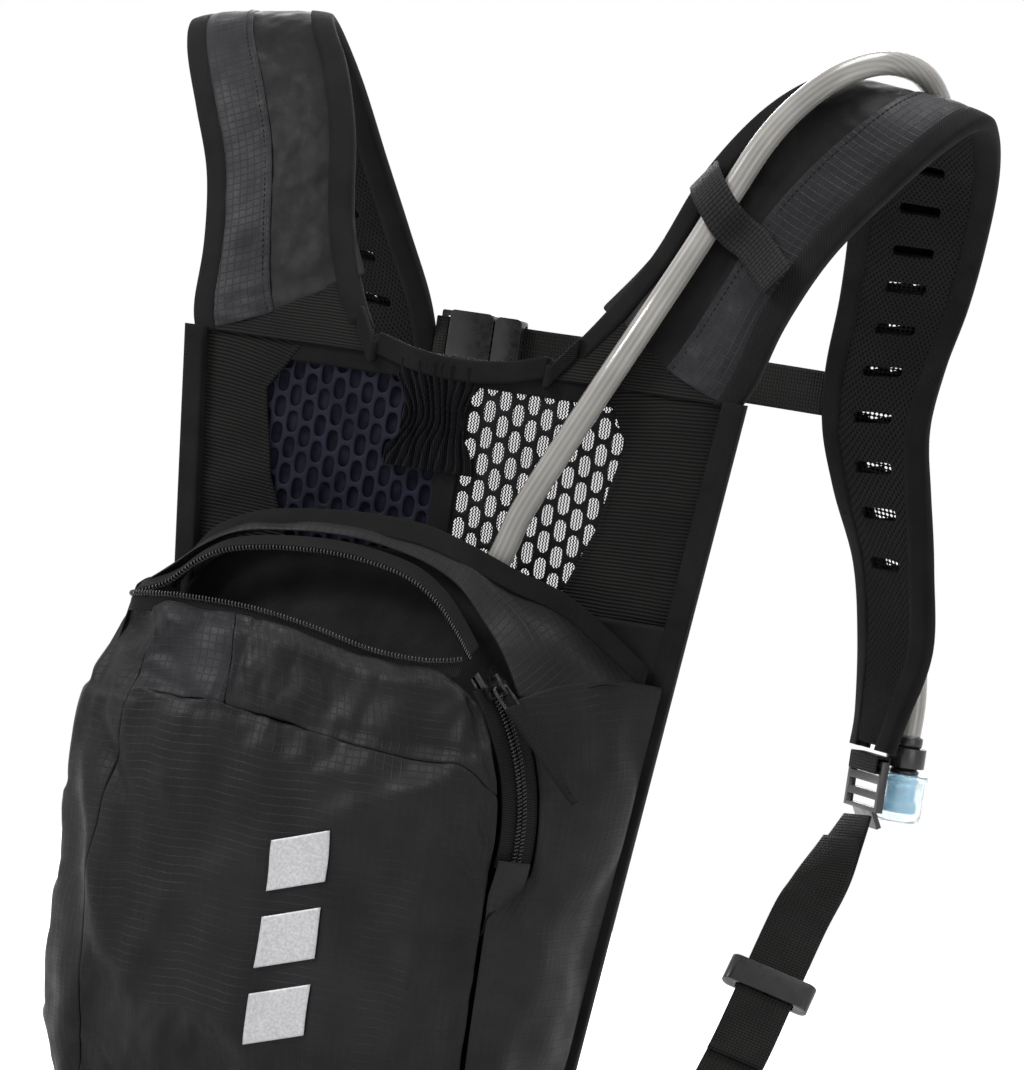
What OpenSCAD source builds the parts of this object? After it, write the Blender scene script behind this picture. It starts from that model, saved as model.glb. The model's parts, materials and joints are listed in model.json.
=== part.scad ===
// Hydration pack: a narrow riding pack with a drinking reservoir behind a
// zipped front pocket. Millimetres. The origin is the centre of the flat
// face that lies on the wearer's back; +Y points at the wearer, +Z is up.

/* [Back] */
// Half width of the back at the height of the origin
back_half = 97; // [85:1:110]
// How much the half width grows for each millimetre of height
back_taper = 0.11; // [0.08:0.01:0.13]
// Bottom edge below the origin
back_drop = 160; // [150:1:170]
// Top of the padded back, where the open yoke starts
pad_top = 100; // [95:1:104]
// Top edge of the yoke
yoke_top = 186; // [182:1:190]
// Thickness of the back foam
foam_t = 6; // [4:0.5:6]

/* [Pocket] */
// Depth of the front pocket from the wearer's face
pocket_depth = 66; // [60:1:72]
// Height of the seam across the front
seam_z = 43; // [38:1:48]
// Left and right ends of the front face
front_left = -92; // [-96:1:-88]
front_right = 66; // [62:1:68]
// Thickness of the shell fabric
cloth_t = 1.2; // [0.8:0.1:1.6]

/* [Zip] */
// Radius of the curve on which the slider travels
zip_r = 90; // [88:0.5:92]
// Width of one zip tape
tape_w = 9; // [7:0.5:10]
// Angle at which the slider rests, from the +X side
slider_angle = 40; // [38:0.5:42]

/* [Straps] */
// Thickness of the padded strap
strap_t = 8; // [6:0.5:9]
// Width of the lower webbing
web_w = 25; // [20:1:25]
// Thickness of the webbing
web_t = 1.4; // [1:0.1:1.8]
// Width of the sternum webbing
chest_w = 19; // [15:1:20]

/* [Drinking hose] */
// Outer diameter of the hose
hose_d = 10; // [9:0.5:10]

/* [Hidden] */

mesh_t = 1;
lining_t = 1;
back_t = mesh_t + foam_t + lining_t;
black = [0.09, 0.09, 0.10];
charcoal = [0.14, 0.14, 0.15];
plum = [0.15, 0.13, 0.17];
jet = [0.05, 0.05, 0.05];
navy = [0.12, 0.12, 0.20];
clear_grey = [0.72, 0.71, 0.68, 0.8];
pale_blue = [0.62, 0.83, 0.93, 0.7];
silver = [0.8, 0.8, 0.82];

// ---- vectors, curves and surfaces ----
function unit(v) = v / norm(v);
function mix(a, b, t) = a + (b - a) * t;
function ramp(a, b, x) = let (t = min(1, max(0, (x - a) / (b - a)))) t * t * (3 - 2 * t);
function blend4(p, q, r, s, t) =
    (2 * q + (r - p) * t + (2 * p - 5 * q + 4 * r - s) * t * t + (3 * q - p - 3 * r + s) * t * t * t) / 2;
// A smooth curve through the rows of P, with n steps between rows
function spline(P, n) = [
    for (i = [0:len(P) - 2]) for (k = [0:n - 1])
        blend4(P[max(i - 1, 0)], P[i], P[i + 1], P[min(i + 2, len(P) - 1)], k / n),
    P[len(P) - 1]
];
function along(P, i) = unit(P[min(i + 1, len(P) - 1)] - P[max(i - 1, 0)]);
function flip(P) = [for (p = P) [-p[0], p[1], p[2]]];
function back(P) = [for (i = [len(P) - 1:-1:0]) P[i]];

// Closed tube through rings that all have the same number of points. Walls on opposite sides are
// split along the same diagonal, so that layers that twist together stay apart
module loft(rings) {
    n = len(rings);
    k = len(rings[0]);
    polyhedron(
        points = [for (r = rings) each r],
        faces = [
            [for (i = [k - 1:-1:0]) i],
            [for (i = [0:k - 1]) (n - 1) * k + i],
            for (j = [0:n - 2]) for (i = [0:k - 1]) let (a = j * k + i, b = j * k + (i + 1) % k)
                each i < k / 2 ? [[a, b + k, a + k], [a, b, b + k]] : [[a, b, a + k], [b, b + k, a + k]]
        ],
        convexity = 6
    );
}
// Flat band along points P: side(i) is the direction of its width, w its width, t its thickness
function band(P, sides, ws, ts) = [
    for (i = [0:len(P) - 1])
        let (l = unit(sides[i]), n = unit(cross(along(P, i), l)), w = ws[i] / 2, t = ts[i] / 2,
            c = min(w, t) * 0.6)
        [
            P[i] + l * (w - c) + n * t, P[i] + l * w + n * (t - c),
            P[i] + l * w - n * (t - c), P[i] + l * (w - c) - n * t,
            P[i] - l * (w - c) - n * t, P[i] - l * w - n * (t - c),
            P[i] - l * w + n * (t - c), P[i] - l * (w - c) + n * t
        ]
];
// Round tube of diameter d along points P
function round_side(P, i) = let (a = along(P, i), s = cross(a, [0.3, 1, 0.1])) unit(s);
function tube(P, d, sides) = [
    for (i = [0:len(P) - 1])
        let (a = along(P, i), u = round_side(P, i), v = cross(a, u))
        [for (k = [0:sides - 1]) let (q = -360 * k / sides) P[i] + (u * cos(q) + v * sin(q)) * d / 2]
];
// Outward shift of a grid by d along its own normals
function shift(G, d) = let (n = len(G), m = len(G[0])) [
    for (i = [0:n - 1]) [
        for (j = [0:m - 1])
            G[i][j] + d * unit(cross(
                G[i][min(j + 1, m - 1)] - G[i][max(j - 1, 0)],
                G[min(i + 1, n - 1)][j] - G[max(i - 1, 0)][j]))
    ]
];
// Cloth panel: the grid G is its outer face, rows upward and columns to the right, and it is t thick
module panel(G, t) {
    H = shift(G, -t);
    n = len(G);
    m = len(G[0]);
    o = n * m;
    rim = [
        for (j = [0:m - 1]) j, for (i = [1:n - 1]) i * m + m - 1,
        for (j = [m - 2:-1:0]) (n - 1) * m + j, for (i = [n - 2:-1:1]) i * m
    ];
    polyhedron(
        points = concat([for (r = G) each r], [for (r = H) each r]),
        faces = [
            for (i = [0:n - 2]) for (j = [0:m - 2]) let (a = i * m + j)
                each [
                    [a, a + m + 1, a + 1], [a, a + m, a + m + 1],
                    [o + a, o + a + 1, o + a + m + 1], [o + a, o + a + m + 1, o + a + m]
                ],
            for (i = [0:len(rim) - 1]) let (a = rim[i], b = rim[(i + 1) % len(rim)])
                each [[a, o + b, o + a], [a, b, o + b]]
        ],
        convexity = 6
    );
}

// ---- outline of the pack ----
function half(z) = back_half + back_taper * z;
// Front of the pocket: upright, leaning back above the seam and tucked in at the bottom
function front_y(z) = -pocket_depth + max(0, z - seam_z) * 0.32 + 24 * pow(max(0, -60 - z) / 95, 2.5);
// How far the left side of the filled pocket stands out past the back
bulge_rows = [[-156, 8], [-130, 26], [-90, 38], [-40, 37], [0, 33], [50, 22], [68, 12], [82, 5]];
function bulge(z) = lookup(z, bulge_rows);
// Radius of the front face's right corner, which follows the zip
function inner_edge(z) = let (r = zip_r - tape_w * 0.48, h = z - zip_c[1])
    zip_c[0] + sqrt(r * r - h * h) - 1.5;
function outer_edge(z) = let (r = zip_r + tape_w * 0.48, h = z - zip_c[1])
    z < 2 ? mix(front_right + 1, outer_edge(2), ramp(-20, 2, z)) : zip_c[0] + sqrt(r * r - h * h) + 2;
zip_c = [-19, 12];
zip_y = -56;

// Near edge of the pocket's mouth, from the left corner to the slider
mouth_pts = [
    [-110, -42, 79], [-104, -49, 80], [-83, -54, 82], [-53, -56, 82], [-27, -57, 79],
    [-1, -57, 74], [18, -58, 73], [30, -58, 74], [39, -58, 76]
];
// Far edge of the mouth, the zip's arch
arch_pts = [
    [-110, -38, 82], [-98, -36, 88], [-87, -35, 98], [-74, -35, 105], [-52, -35, 109], [-25, -35, 110],
    [1, -35, 106], [17, -37, 98], [29, -42, 88], [39, -49, 79]
];
// Seam of the arch gusset with the zip tape, and its upper edge, the flap
strip_low = [
    [-112, -33, 84], [-101, -30, 93], [-90, -28, 103], [-75, -28, 111], [-52, -28, 115], [-25, -28, 116],
    [2, -28, 112], [22, -30, 104], [38, -36, 91], [50, -43, 80], [60, -48, 66]
];
flap_pts = [
    [-105, -10, 85], [-98, -12, 95], [-88, -15, 105], [-70, -19, 113], [-48, -21, 117], [-22, -22, 119],
    [2, -22, 118], [22, -22, 113], [42, -21, 106], [66, -17, 98], [98, -10, 76]
];

// ---- back of the pack ----
corner_r = 26;
back_outline = [
    for (a = [0:15:75])
        [half(-back_drop) - corner_r * (1 - sin(a)), -back_drop + corner_r * (1 - cos(a))],
    [half(-back_drop + corner_r), -back_drop + corner_r],
    [half(pad_top), pad_top]
];
function both_sides(P) = concat(P, [for (p = back(P)) [-p[0], p[1]]]);
module upright(t, y) translate([0, y, 0]) rotate([90, 0, 0]) linear_extrude(t) children();
module back_mesh() color(charcoal) upright(mesh_t, 0) polygon(both_sides(back_outline));
module back_foam() color(black) upright(foam_t, -mesh_t) polygon(both_sides(back_outline));
module back_lining() color(charcoal) upright(lining_t, -mesh_t - foam_t) polygon(both_sides(back_outline));

// ---- pocket and reservoir compartment ----
// Lower ends of the upright panels, and where their rear edges meet the back
shell_foot = -151;
shell_y = -back_t - 0.6;
// How far the front panels start inside the left edge, past the side panel's own thickness
seam_in = 1.9;
// How far the front panels stand out between their sides
function crown_y(x) = -3 * sin(180 * (x - front_left) / (front_right - front_left));
function flap_z(x) = lookup(x, [for (p = flap_pts) [p[0], p[2]]]);
function divider_y(u, z) = -back_t - 1.5 - mix(26.5, 10.5, ramp(45, 116, z)) * (1 - pow(abs(u), 3));
module divider_panel() color(charcoal) panel([
    for (i = [0:12]) let (v = i / 12) [
        for (j = [0:14])
            let (u = j / 7 - 1, x = u * (half(mix(-150, 80, v)) - 4),
                z = mix(-148, flap_z(x) - 5 - 7 * ramp(60, 100, x), v))
            [x, divider_y(u, z), z]
    ]
], cloth_t);

function left_section(z, n) = spline([
    [front_left, front_y(z), z],
    [-half(z) - bulge(z), (front_y(z) - back_t) / 2 - 4, z - 1],
    [-half(z) + 0.5, shell_y, z]
], n);
module left_gusset() color(black) panel([
    for (i = [0:14]) let (z = mix(shell_foot, 73.6, i / 14)) back(left_section(z, 5))
], cloth_t);
// The right side rises towards the back, to meet the arch gusset
function right_y(z) = z < 2 ? front_y(z) + 17 * ramp(-20, 2, z) : -49;
module right_gusset() color(black) panel([
    for (i = [0:14]) [
        for (j = [0:6])
            let (t = j / 6, z = mix(shell_foot, 64 + 11 * t, i / 14))
            mix([outer_edge(z), right_y(z), z], [half(z) - 0.5, shell_y, z], t) + [6, -3, 0] * sin(180 * t)
    ]
], cloth_t);
module bottom_panel() color(black) panel([
    for (i = [0:6]) let (t = i / 6, hump = sin(180 * t), z = shell_foot - 2 - 4 * hump) [
        for (j = [0:8])
            let (left = -half(shell_foot) - 6 * hump + 2 * t, right = mix(half(shell_foot), front_right, t))
            [mix(left, right, j / 8), mix(shell_y, front_y(shell_foot) + 1, t), z]
    ]
], cloth_t);
module front_panel() color(black) panel([
    for (i = [0:12])
        let (z = mix(shell_foot, seam_z - 0.4, i / 12), r = min(inner_edge(max(z, 2)), front_right))
        [for (j = [0:12]) let (x = mix(front_left + seam_in, r, j / 12)) [x, front_y(z) + crown_y(x), z]]
], cloth_t);
// Top panels: from the seam to the mouth, split by a short upright seam
split_x = -47;
// Height at which the right top panel meets the zip below the slider
mouth_end = 62;
function mouth_z(x) = lookup(x, [for (p = mouth_pts) [p[0], p[2]]]) - 5.7;
module top_panel_left() color(plum) panel([
    for (i = [0:5]) let (v = i / 5) [
        for (j = [0:5])
            let (x = mix(front_left + seam_in, split_x - 0.3, j / 5), z = mix(seam_z + 0.4, mouth_z(x), v))
            [x, front_y(z) + crown_y(x), z]
    ]
], cloth_t);
module top_panel_right() color(black) panel([
    for (i = [0:6]) let (v = i / 6) [
        for (j = [0:9])
            let (t = j / 9, x = mix(split_x + 0.3, inner_edge(mix(seam_z, mouth_end, v)), t),
                z = mix(seam_z + 0.4, mix(mouth_z(x), mouth_end, pow(t, 3)), v))
            [x, front_y(z) + crown_y(x), z]
    ]
], cloth_t);
module arch_gusset() color(black) {
    a = spline(strip_low, 2);
    b = spline(flap_pts, 2);
    panel([
        for (i = [0:4]) [for (j = [0:len(a) - 1]) mix(a[j], b[j], i / 4) + [0, 0, 2 * sin(45 * i)]]
    ], cloth_t);
}
module flap_binding() color(jet) {
    P = [for (p = spline(flap_pts, 2)) p + [0, -0.8, 3.2]];
    loft(band(P, [for (p = P) [0, 0.3, 1]], [for (p = P) 4], [for (p = P) 2.4]));
}

// ---- zip ----
function edge_tape(P, side) = band(P, [for (p = P) side], [for (p = P) tape_w * 0.6], [for (p = P) 0.8]);
// Anything swept round the slider's curve, from angle a0 to a1, drawn in radius and depth
module zip_sweep(a0, a1)
    translate([zip_c[0], zip_y, zip_c[1]]) rotate([90, -a0, 0])
        rotate_extrude(angle = a1 - a0, $fn = 96) children();
tape_tilt = 61;
coil_w = 3.4;
// Slit between the two sides, in which the slider's post runs
slit = 1.4;
coil_h = 1.6;
tape_t = 0.8;
leg_end = -7;
leg_top = slider_angle - 0.5;
module across_zip() translate([zip_r, 0]) rotate(-tape_tilt) children();
// Each tape runs round its edge of the mouth and then down its own side of the closed stretch
module leg_tape(s) zip_sweep(leg_end, leg_top) across_zip()
    translate([s > 0 ? slit / 2 : -tape_w, -tape_t / 2]) square([tape_w - slit / 2, tape_t]);
module leg_coil(s) zip_sweep(leg_end + 1, leg_top) across_zip()
    translate([s > 0 ? slit / 2 : -slit / 2 - coil_w / 2, tape_t / 2 + 0.06]) square([coil_w / 2, coil_h]);
module zip_tape_rear() color(jet) {
    P = [for (p = spline(arch_pts, 3)) p + [0, 3, 1.6]];
    loft(edge_tape(P, [0.05, 0.85, 0.5]));
    leg_tape(1);
}
module zip_tape_front() color(jet) {
    M = spline(mouth_pts, 3);
    P = [for (i = [2:len(M) - 1]) M[i] + [0, 0.6, -2.6]];
    loft(edge_tape(P, [0, 0.15, 1]));
    leg_tape(-1);
}
module zip_teeth_rear() color(jet) {
    P = [for (p = spline(arch_pts, 3)) p + [0, -0.6, -1.8]];
    loft(tube(P, 2, 6));
    leg_coil(1);
}
module zip_teeth_front() color(jet) {
    P = [for (p = spline(mouth_pts, 3)) p + [0, 0, 1.6]];
    loft(tube(P, 2, 6));
    leg_coil(-1);
}
// Fabric patch over the lower end of the zip
module zip_garage() color(black) zip_sweep(leg_end - 5, leg_end + 2) across_zip()
    translate([-tape_w - 1, tape_t / 2 + coil_h + 0.2]) square([tape_w + 1.5, 1]);
// Slider: a top plate and a bottom plate joined above the end of the closed coil
plate_w = 9.6;
post_w = 0.7;
module zip_slider() color(jet) {
    zip_sweep(slider_angle - 4.5, slider_angle + 3) across_zip() {
        translate([-plate_w / 2, tape_t / 2 + coil_h + 0.4]) square([plate_w, 1.4]);
        translate([-plate_w / 2, -tape_t / 2 - 0.4 - 1.2]) square([plate_w, 1.2]);
        for (s = [-1, 1])
            translate([s * (plate_w / 2 - 0.5) - 0.5, tape_t / 2 + 0.35]) square([1, coil_h + 0.2]);
    }
    zip_sweep(slider_angle + 0.8, slider_angle + 3) across_zip()
        translate([-post_w / 2, -tape_t / 2 - 1]) square([post_w, coil_h + tape_t + 2]);
}
// Frame of the slider: its origin is on the coil, +X is outward, +Z runs up the zip
module at_slider(da = 0)
    translate([zip_c[0], zip_y, zip_c[1]]) rotate([0, -slider_angle - da, 0]) translate([zip_r, 0, 0])
        rotate([0, 0, tape_tilt - 90]) children();
crown = tape_t / 2 + coil_h + 1.8;
module zip_bail() color(silver) at_slider(-1.5) translate([crown + 0.02, 0, 0]) rotate([90, 0, 0])
    linear_extrude(1.4, center = true) difference() {
        translate([0, -3.5]) square([3.4, 7]);
        translate([-1, -2.3]) square([3.2, 4.6]);
    }
// Pull: a wire link through the bail, and the folded tape sewn on it
wire_d = 1.4;
wire_z = -1.3;
pull_lean = -8;
link_len = 10;
tab_len = 46;
module at_pull() at_slider(-1.5) translate([crown + 1.1, 0, wire_z]) rotate([0, pull_lean, 0]) children();
module zip_puller() color(jet) at_pull() {
    rotate([90, 0, 0]) cylinder(d = wire_d, h = 7, center = true, $fn = 24);
    for (s = [-1, 1])
        translate([0, s * 3.5, -link_len]) cylinder(d = wire_d, h = link_len + wire_d / 2, $fn = 24);
    translate([-0.9, -4, -link_len - tab_len + 1]) cube([1.8, 8, tab_len]);
}

// ---- yoke ----
yoke_t = 3;
yoke_band = 9;
net_edge = [[5, pad_top + 1], [53, pad_top + 1], [66.5, 133], [73.5, 169], [65, 181], [5, 181]];
function stretch(P, s) = [for (p = P) [p[0] > 40 ? p[0] * s : p[0], p[1]]];
side_edge = [[54, pad_top + 1], [half(pad_top) - 1, pad_top + 1], [half(yoke_top) - 4, yoke_top],
    [66, yoke_top], [75, 169], [68, 133]];
module yoke_side(s) color(charcoal) upright(yoke_t, -0.5) polygon([
    for (p = side_edge) [p[0] < 80 ? p[0] * s + (s > 1 ? -0.5 : 0) : p[0], p[1]]]);
left_stretch = 1.12;
module yoke_side_left() mirror([1, 0, 0]) yoke_side(left_stretch);
module yoke_side_right() yoke_side(1);
// Net of long hexagonal cells inside the outline P
cell = [10.6, 6.1];
wire = 1.4;
net_t = 1;
function cross2(a, b, p) = (b[0] - a[0]) * (p[1] - a[1]) - (b[1] - a[1]) * (p[0] - a[0]);
function inside(P, p, m) = min([
    for (i = [0:len(P) - 1]) let (a = P[i], b = P[(i + 1) % len(P)]) cross2(a, b, p) / norm(b - a)]) > m;
module net(P) upright(net_t, -1.7) difference() {
    polygon(P);
    for (i = [0:12]) for (j = [0:8]) {
        c = [8.6 + i * cell[1], pad_top + 7.5 + (j + (i % 2) / 2) * cell[0]];
        if (inside(P, c, 4.6)) translate(c) polygon([
            for (q = [[1, 0.62], [0, 1], [-1, 0.62], [-1, -0.62], [0, -1], [1, -0.62]])
                [q[0] * (cell[1] - wire) / 2, q[1] * (cell[0] - wire * 0.6) / 2]]);
    }
}
module net_left() color(navy) mirror([1, 0, 0]) net(stretch(net_edge, left_stretch));
module net_right() color(jet) net(net_edge);
spine_half = 4.5;
bar_z = yoke_top - 4;
module yoke_spine() color(black) upright(yoke_t - 1, -1.5) polygon([
    [-spine_half, pad_top + 1], [spine_half, pad_top + 1], [spine_half, bar_z], [65, bar_z],
    [65, yoke_top], [-73, yoke_top], [-73, bar_z], [-spine_half, bar_z]
]);
lining_edge = [[52, pad_top + 1], [66, 133], [73, 169], [62, 180]];
module yoke_lining() color(clear_grey) upright(0.8, -0.5) polygon(
    concat(lining_edge, [for (p = back(stretch(lining_edge, left_stretch))) [-p[0], p[1]]]));

// ---- shoulder straps ----
// Centre line, direction and size of the width, and share of the full thickness
strap_rows = [
    [75, -3, 188, 82, 0, 0, 82, 0.4], [86, 5, 207, 68, -4, -14, 71, 0.7],
    [95, 17, 233, 59, -7, -19, 63, 1], [105, 31, 264, 59, -6, -24, 64, 1],
    [119, 45, 290, 62, -6, -25, 66, 1], [134, 61, 311, 65, -2, -16, 66, 1],
    [143, 80, 320, 63, 0, -9, 64, 1], [144, 102, 315, 60, 4, -6, 61, 1],
    [141, 125, 298, 60, 6, -4, 60, 1], [135, 148, 272, 58, 4, 0, 58, 1],
    [127, 171, 243, 55, 2, 2, 55, 1], [118, 189, 214, 52, -2, 4, 52, 1],
    [115, 199, 188, 48, -8, 4, 49, 1], [120, 205, 162, 45, -13, 2, 47, 1],
    [128, 212, 131, 39, -23, 0, 46, 1], [133, 216, 97, 37, -25, 0, 45, 1],
    [131, 218, 66, 28, -30, 0, 41, 0.9], [129, 218, 50, 26, -28, 0, 35, 0.7]
];
S = spline(strap_rows, 3);
SC = [for (r = S) [r[0], r[1], r[2]]];
SL = [for (r = S) unit([r[3], r[4], r[5]])];
SN = [for (i = [0:len(S) - 1]) unit(cross(along(SC, i), SL[i]))];
// One layer of the strap: centre depth d and thickness t, as shares of the strap's own
module strap_layer(d, t) loft([
    for (i = [0:len(S) - 1])
        let (w = S[i][6] / 2 - 2.9, full = strap_t * max(S[i][7], 0.5),
            h = t * full / 2, c = SC[i] + SN[i] * d * full)
        [for (q = [[1, 1], [1, -1], [-1, -1], [-1, 1]]) c + SL[i] * q[0] * w + SN[i] * q[1] * h]
]);
module strap_cover() color(black) strap_layer(-0.44, 0.12);
module strap_foam() color(charcoal) strap_layer(0, 0.64);
module strap_liner() color(jet) strap_layer(0.44, 0.12);
module strap_cover_left() mirror([1, 0, 0]) strap_cover();
module strap_cover_right() strap_cover();
module strap_foam_left() mirror([1, 0, 0]) strap_foam();
module strap_foam_right() strap_foam();
module strap_liner_left() mirror([1, 0, 0]) strap_liner();
module strap_liner_right() strap_liner();
function strap_side(s) = [for (i = [0:len(S) - 1]) SC[i] + SL[i] * s * (S[i][6] / 2 - 1.2)];
module edge_tape_rod(P, L, T) loft(band(P, L, [for (p = P) 2.2], T));
module outer_binding_right() color(jet) {
    low = [for (z = [-150 : 26 : 162]) [half(z) + 1.3, -3.5, z]];
    P = concat(low, [for (i = [2:len(S) - 1]) strap_side(1)[i]]);
    L = concat([for (p = low) [1, 0, 0]], [for (i = [2:len(S) - 1]) SL[i]]);
    T = concat([for (p = low) 6], [for (i = [2:len(S) - 1]) strap_t * S[i][7] + 0.6]);
    edge_tape_rod(P, L, T);
}
module outer_binding_left() mirror([1, 0, 0]) outer_binding_right();
module inner_binding() color(jet) {
    n = len(S);
    E = [for (i = [2:n - 1]) strap_side(-1)[i]];
    LE = [for (i = [2:n - 1]) SL[i]];
    TE = [for (i = [2:n - 1]) strap_t * S[i][7] + 0.6];
    notch = [[-22, -2.8, yoke_top + 3.5], [0, -2.8, yoke_top + 2], [22, -2.8, yoke_top + 3.5]];
    P = concat(flip(back(E)), notch, E);
    across = [[0.2, 0, -1], [0, 0, -1], [-0.2, 0, -1]];
    L = concat([for (l = back(LE)) [l[0], -l[1], -l[2]]], across, [for (l = LE) -l]);
    edge_tape_rod(P, L, concat(back(TE), [5, 5, 5], TE));
}

// ---- drinking system ----
hose_pts = [
    [20, -28, -96], [20, -27, -60], [21, -27, -20], [22, -27, 20], [22.5, -27, 44], [23, -25.5, 60],
    [24, -22.5, 73], [26, -17.5, 88], [28, -13.6, 104], [33, -12, 122], [38, -12, 137], [49, -11, 161],
    [63, -10, 190], [74, -4, 216], [83, 9, 243], [92, 23, 272], [100, 33, 295], [109, 43, 312],
    [120, 56, 326], [132, 73, 334], [142, 93, 333], [146, 113, 323], [146, 134, 305], [143, 156, 281],
    [138, 178, 254], [131, 196, 224], [127, 208, 195], [128, 214, 166], [133, 220, 134],
    [139, 225, 102], [142, 228, 76], [142, 228, 66], [142, 228, 58.3]
];
module hose() color(clear_grey) loft(tube(spline(hose_pts, 2), hose_d, 10));
keeper_pts = [
    [78, 29, 278], [82, 20, 275], [88, 13.5, 269], [94, 13, 262], [99, 17, 257], [105.1, 19.4, 252.7],
    [118.2, 13.6, 239.4]
];
keeper_w = 16;
module hose_keeper() color(jet) {
    P = spline(keeper_pts, 3);
    loft(band(P, [for (p = P) [0.5, 0.35, 0.8]], [for (p = P) keeper_w], [for (p = P) 1.4]));
}
// Mouth end: a body with a turning shut-off lever, a soft mouthpiece and a dust cap
valve_at = [142, 228, 0];
module valve_ring(d, id, z0, z1) translate([0, 0, z0]) difference() {
    cylinder(d = d, h = z1 - z0, $fn = 48);
    translate([0, 0, -1]) cylinder(d = id, h = z1 - z0 + 2, $fn = 48);
}
module valve_body() color(jet) translate(valve_at) {
    translate([0, 0, 54]) cylinder(d = 12.5, h = 4, $fn = 48);
    translate([0, 0, 44]) cylinder(d = 11, h = 10, $fn = 48);
    translate([0, 0, 42]) cylinder(d = 13, h = 2, $fn = 48);
}
module valve_lever() color(jet) translate(valve_at) {
    valve_ring(17, 11.6, 45, 53.5);
    translate([0, 12, 49.25]) rotate([0, 0, 90]) cube([10, 5, 4.5], center = true);
}
mouth_len = 15;
module mouthpiece() color(pale_blue) translate(valve_at) {
    translate([0, 0, 40]) cylinder(d = 14, h = 1.9, $fn = 48);
    translate([0, 0, 40 - mouth_len + 5]) linear_extrude(mouth_len - 5) intersection() {
        circle(d = 13, $fn = 48);
        square([14, 10], center = true);
    }
    translate([0, 0, 40 - mouth_len]) linear_extrude(5) intersection() {
        circle(d = 15.5, $fn = 48);
        square([16, 11], center = true);
    }
}
cap_d = 20;
module dust_cap() color(pale_blue) translate(valve_at) rotate_extrude($fn = 40) polygon([
    [0, 21], [cap_d / 2 - 2, 21], [cap_d / 2 - 0.6, 22], [cap_d / 2, 24], [cap_d / 2, 40],
    [cap_d / 2 + 0.8, 40], [cap_d / 2 + 0.8, 42], [cap_d / 2 - 1.2, 42], [cap_d / 2 - 1.2, 24.5],
    [cap_d / 2 - 2.4, 22.6], [0, 22.6]
]);
// Reservoir, lying flat against the back, with a folded top held by a sliding bar
res_y = -14.8;
res_rows = [[-141, 30, 0.8], [-136, 46, 2], [-120, 58, 4.4], [-90, 63, 5.4], [-40, 64, 5.6], [10, 64, 5.4],
    [38, 62, 4.2], [50, 61, 2], [56, 60, 0.8], [66, 60, 0.8]];
module reservoir() color([0.75, 0.85, 0.9, 0.6]) loft([
    for (r = res_rows) [for (k = [0:19]) let (a = 18 * k, c = cos(a), s = sin(a))
        [r[1] * sign(c) * pow(abs(c), 0.7), res_y + r[2] * sign(s) * pow(abs(s), 0.8), r[0]]]
]);
bar_half = 66;
module closure_bar() color("whitesmoke") translate([-bar_half, res_y, 0]) rotate([90, 0, 90])
    linear_extrude(2 * bar_half) difference() {
        translate([-3.6, 58]) square([7.2, 11]);
        translate([-1.4, 57]) square([2.8, 10]);
    }
port_at = [20, -20.7, -108];
module port_socket() color([0.3, 0.45, 0.6]) translate(port_at) rotate([90, 0, 0]) difference() {
    union() {
        cylinder(d = 30, h = 1.2, $fn = 64);
        cylinder(d = 19, h = 2, $fn = 64);
        translate([7, -4.5, 0]) cube([9, 9, 3.2]);
    }
    translate([0, 0, 1.4]) cylinder(d = 12.4, h = 3, $fn = 64);
    translate([10.4, -3.2, 0.8]) cube([8, 6.4, 5]);
}
module port_button() color("gainsboro") translate(port_at) rotate([90, 0, 0])
    translate([12.3, -2.8, 1.1]) cube([6, 5.6, 3.2]);
module hose_elbow() color([0.25, 0.25, 0.27]) translate(port_at) {
    rotate([90, 0, 0]) translate([0, 0, 1.5]) cylinder(d = 12, h = 6, $fn = 48);
    translate([0, -7.5, -5.2]) cylinder(d = 10.4, h = 16.7, $fn = 48);
}
module hanger_loop() color(jet) {
    translate([-8, -back_t - 0.2 - 1.2, 71]) cube([16, 1.2, 24]);
    translate([-8, -back_t - 0.2 - 6.4, 71]) cube([16, 5.2, 1.2]);
    translate([-8, -back_t - 0.2 - 6.4, 72.2]) cube([16, 1.2, 22.8]);
}

// ---- chest strap ----
chest = [0, 197, 200];
web_back = 3.2;
module chest_web() color(jet)
    translate(chest + [-60, web_back - 0.6, -chest_w / 2]) cube([150.2, 1.2, chest_w]);
module chest_loop() color(jet) translate(chest + [0, 0, -chest_w / 2]) linear_extrude(chest_w) difference() {
    translate([-90.2, -3]) square([6, 6]);
    translate([-89.4, -1.8]) square([4.2, 3.6]);
}
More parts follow.
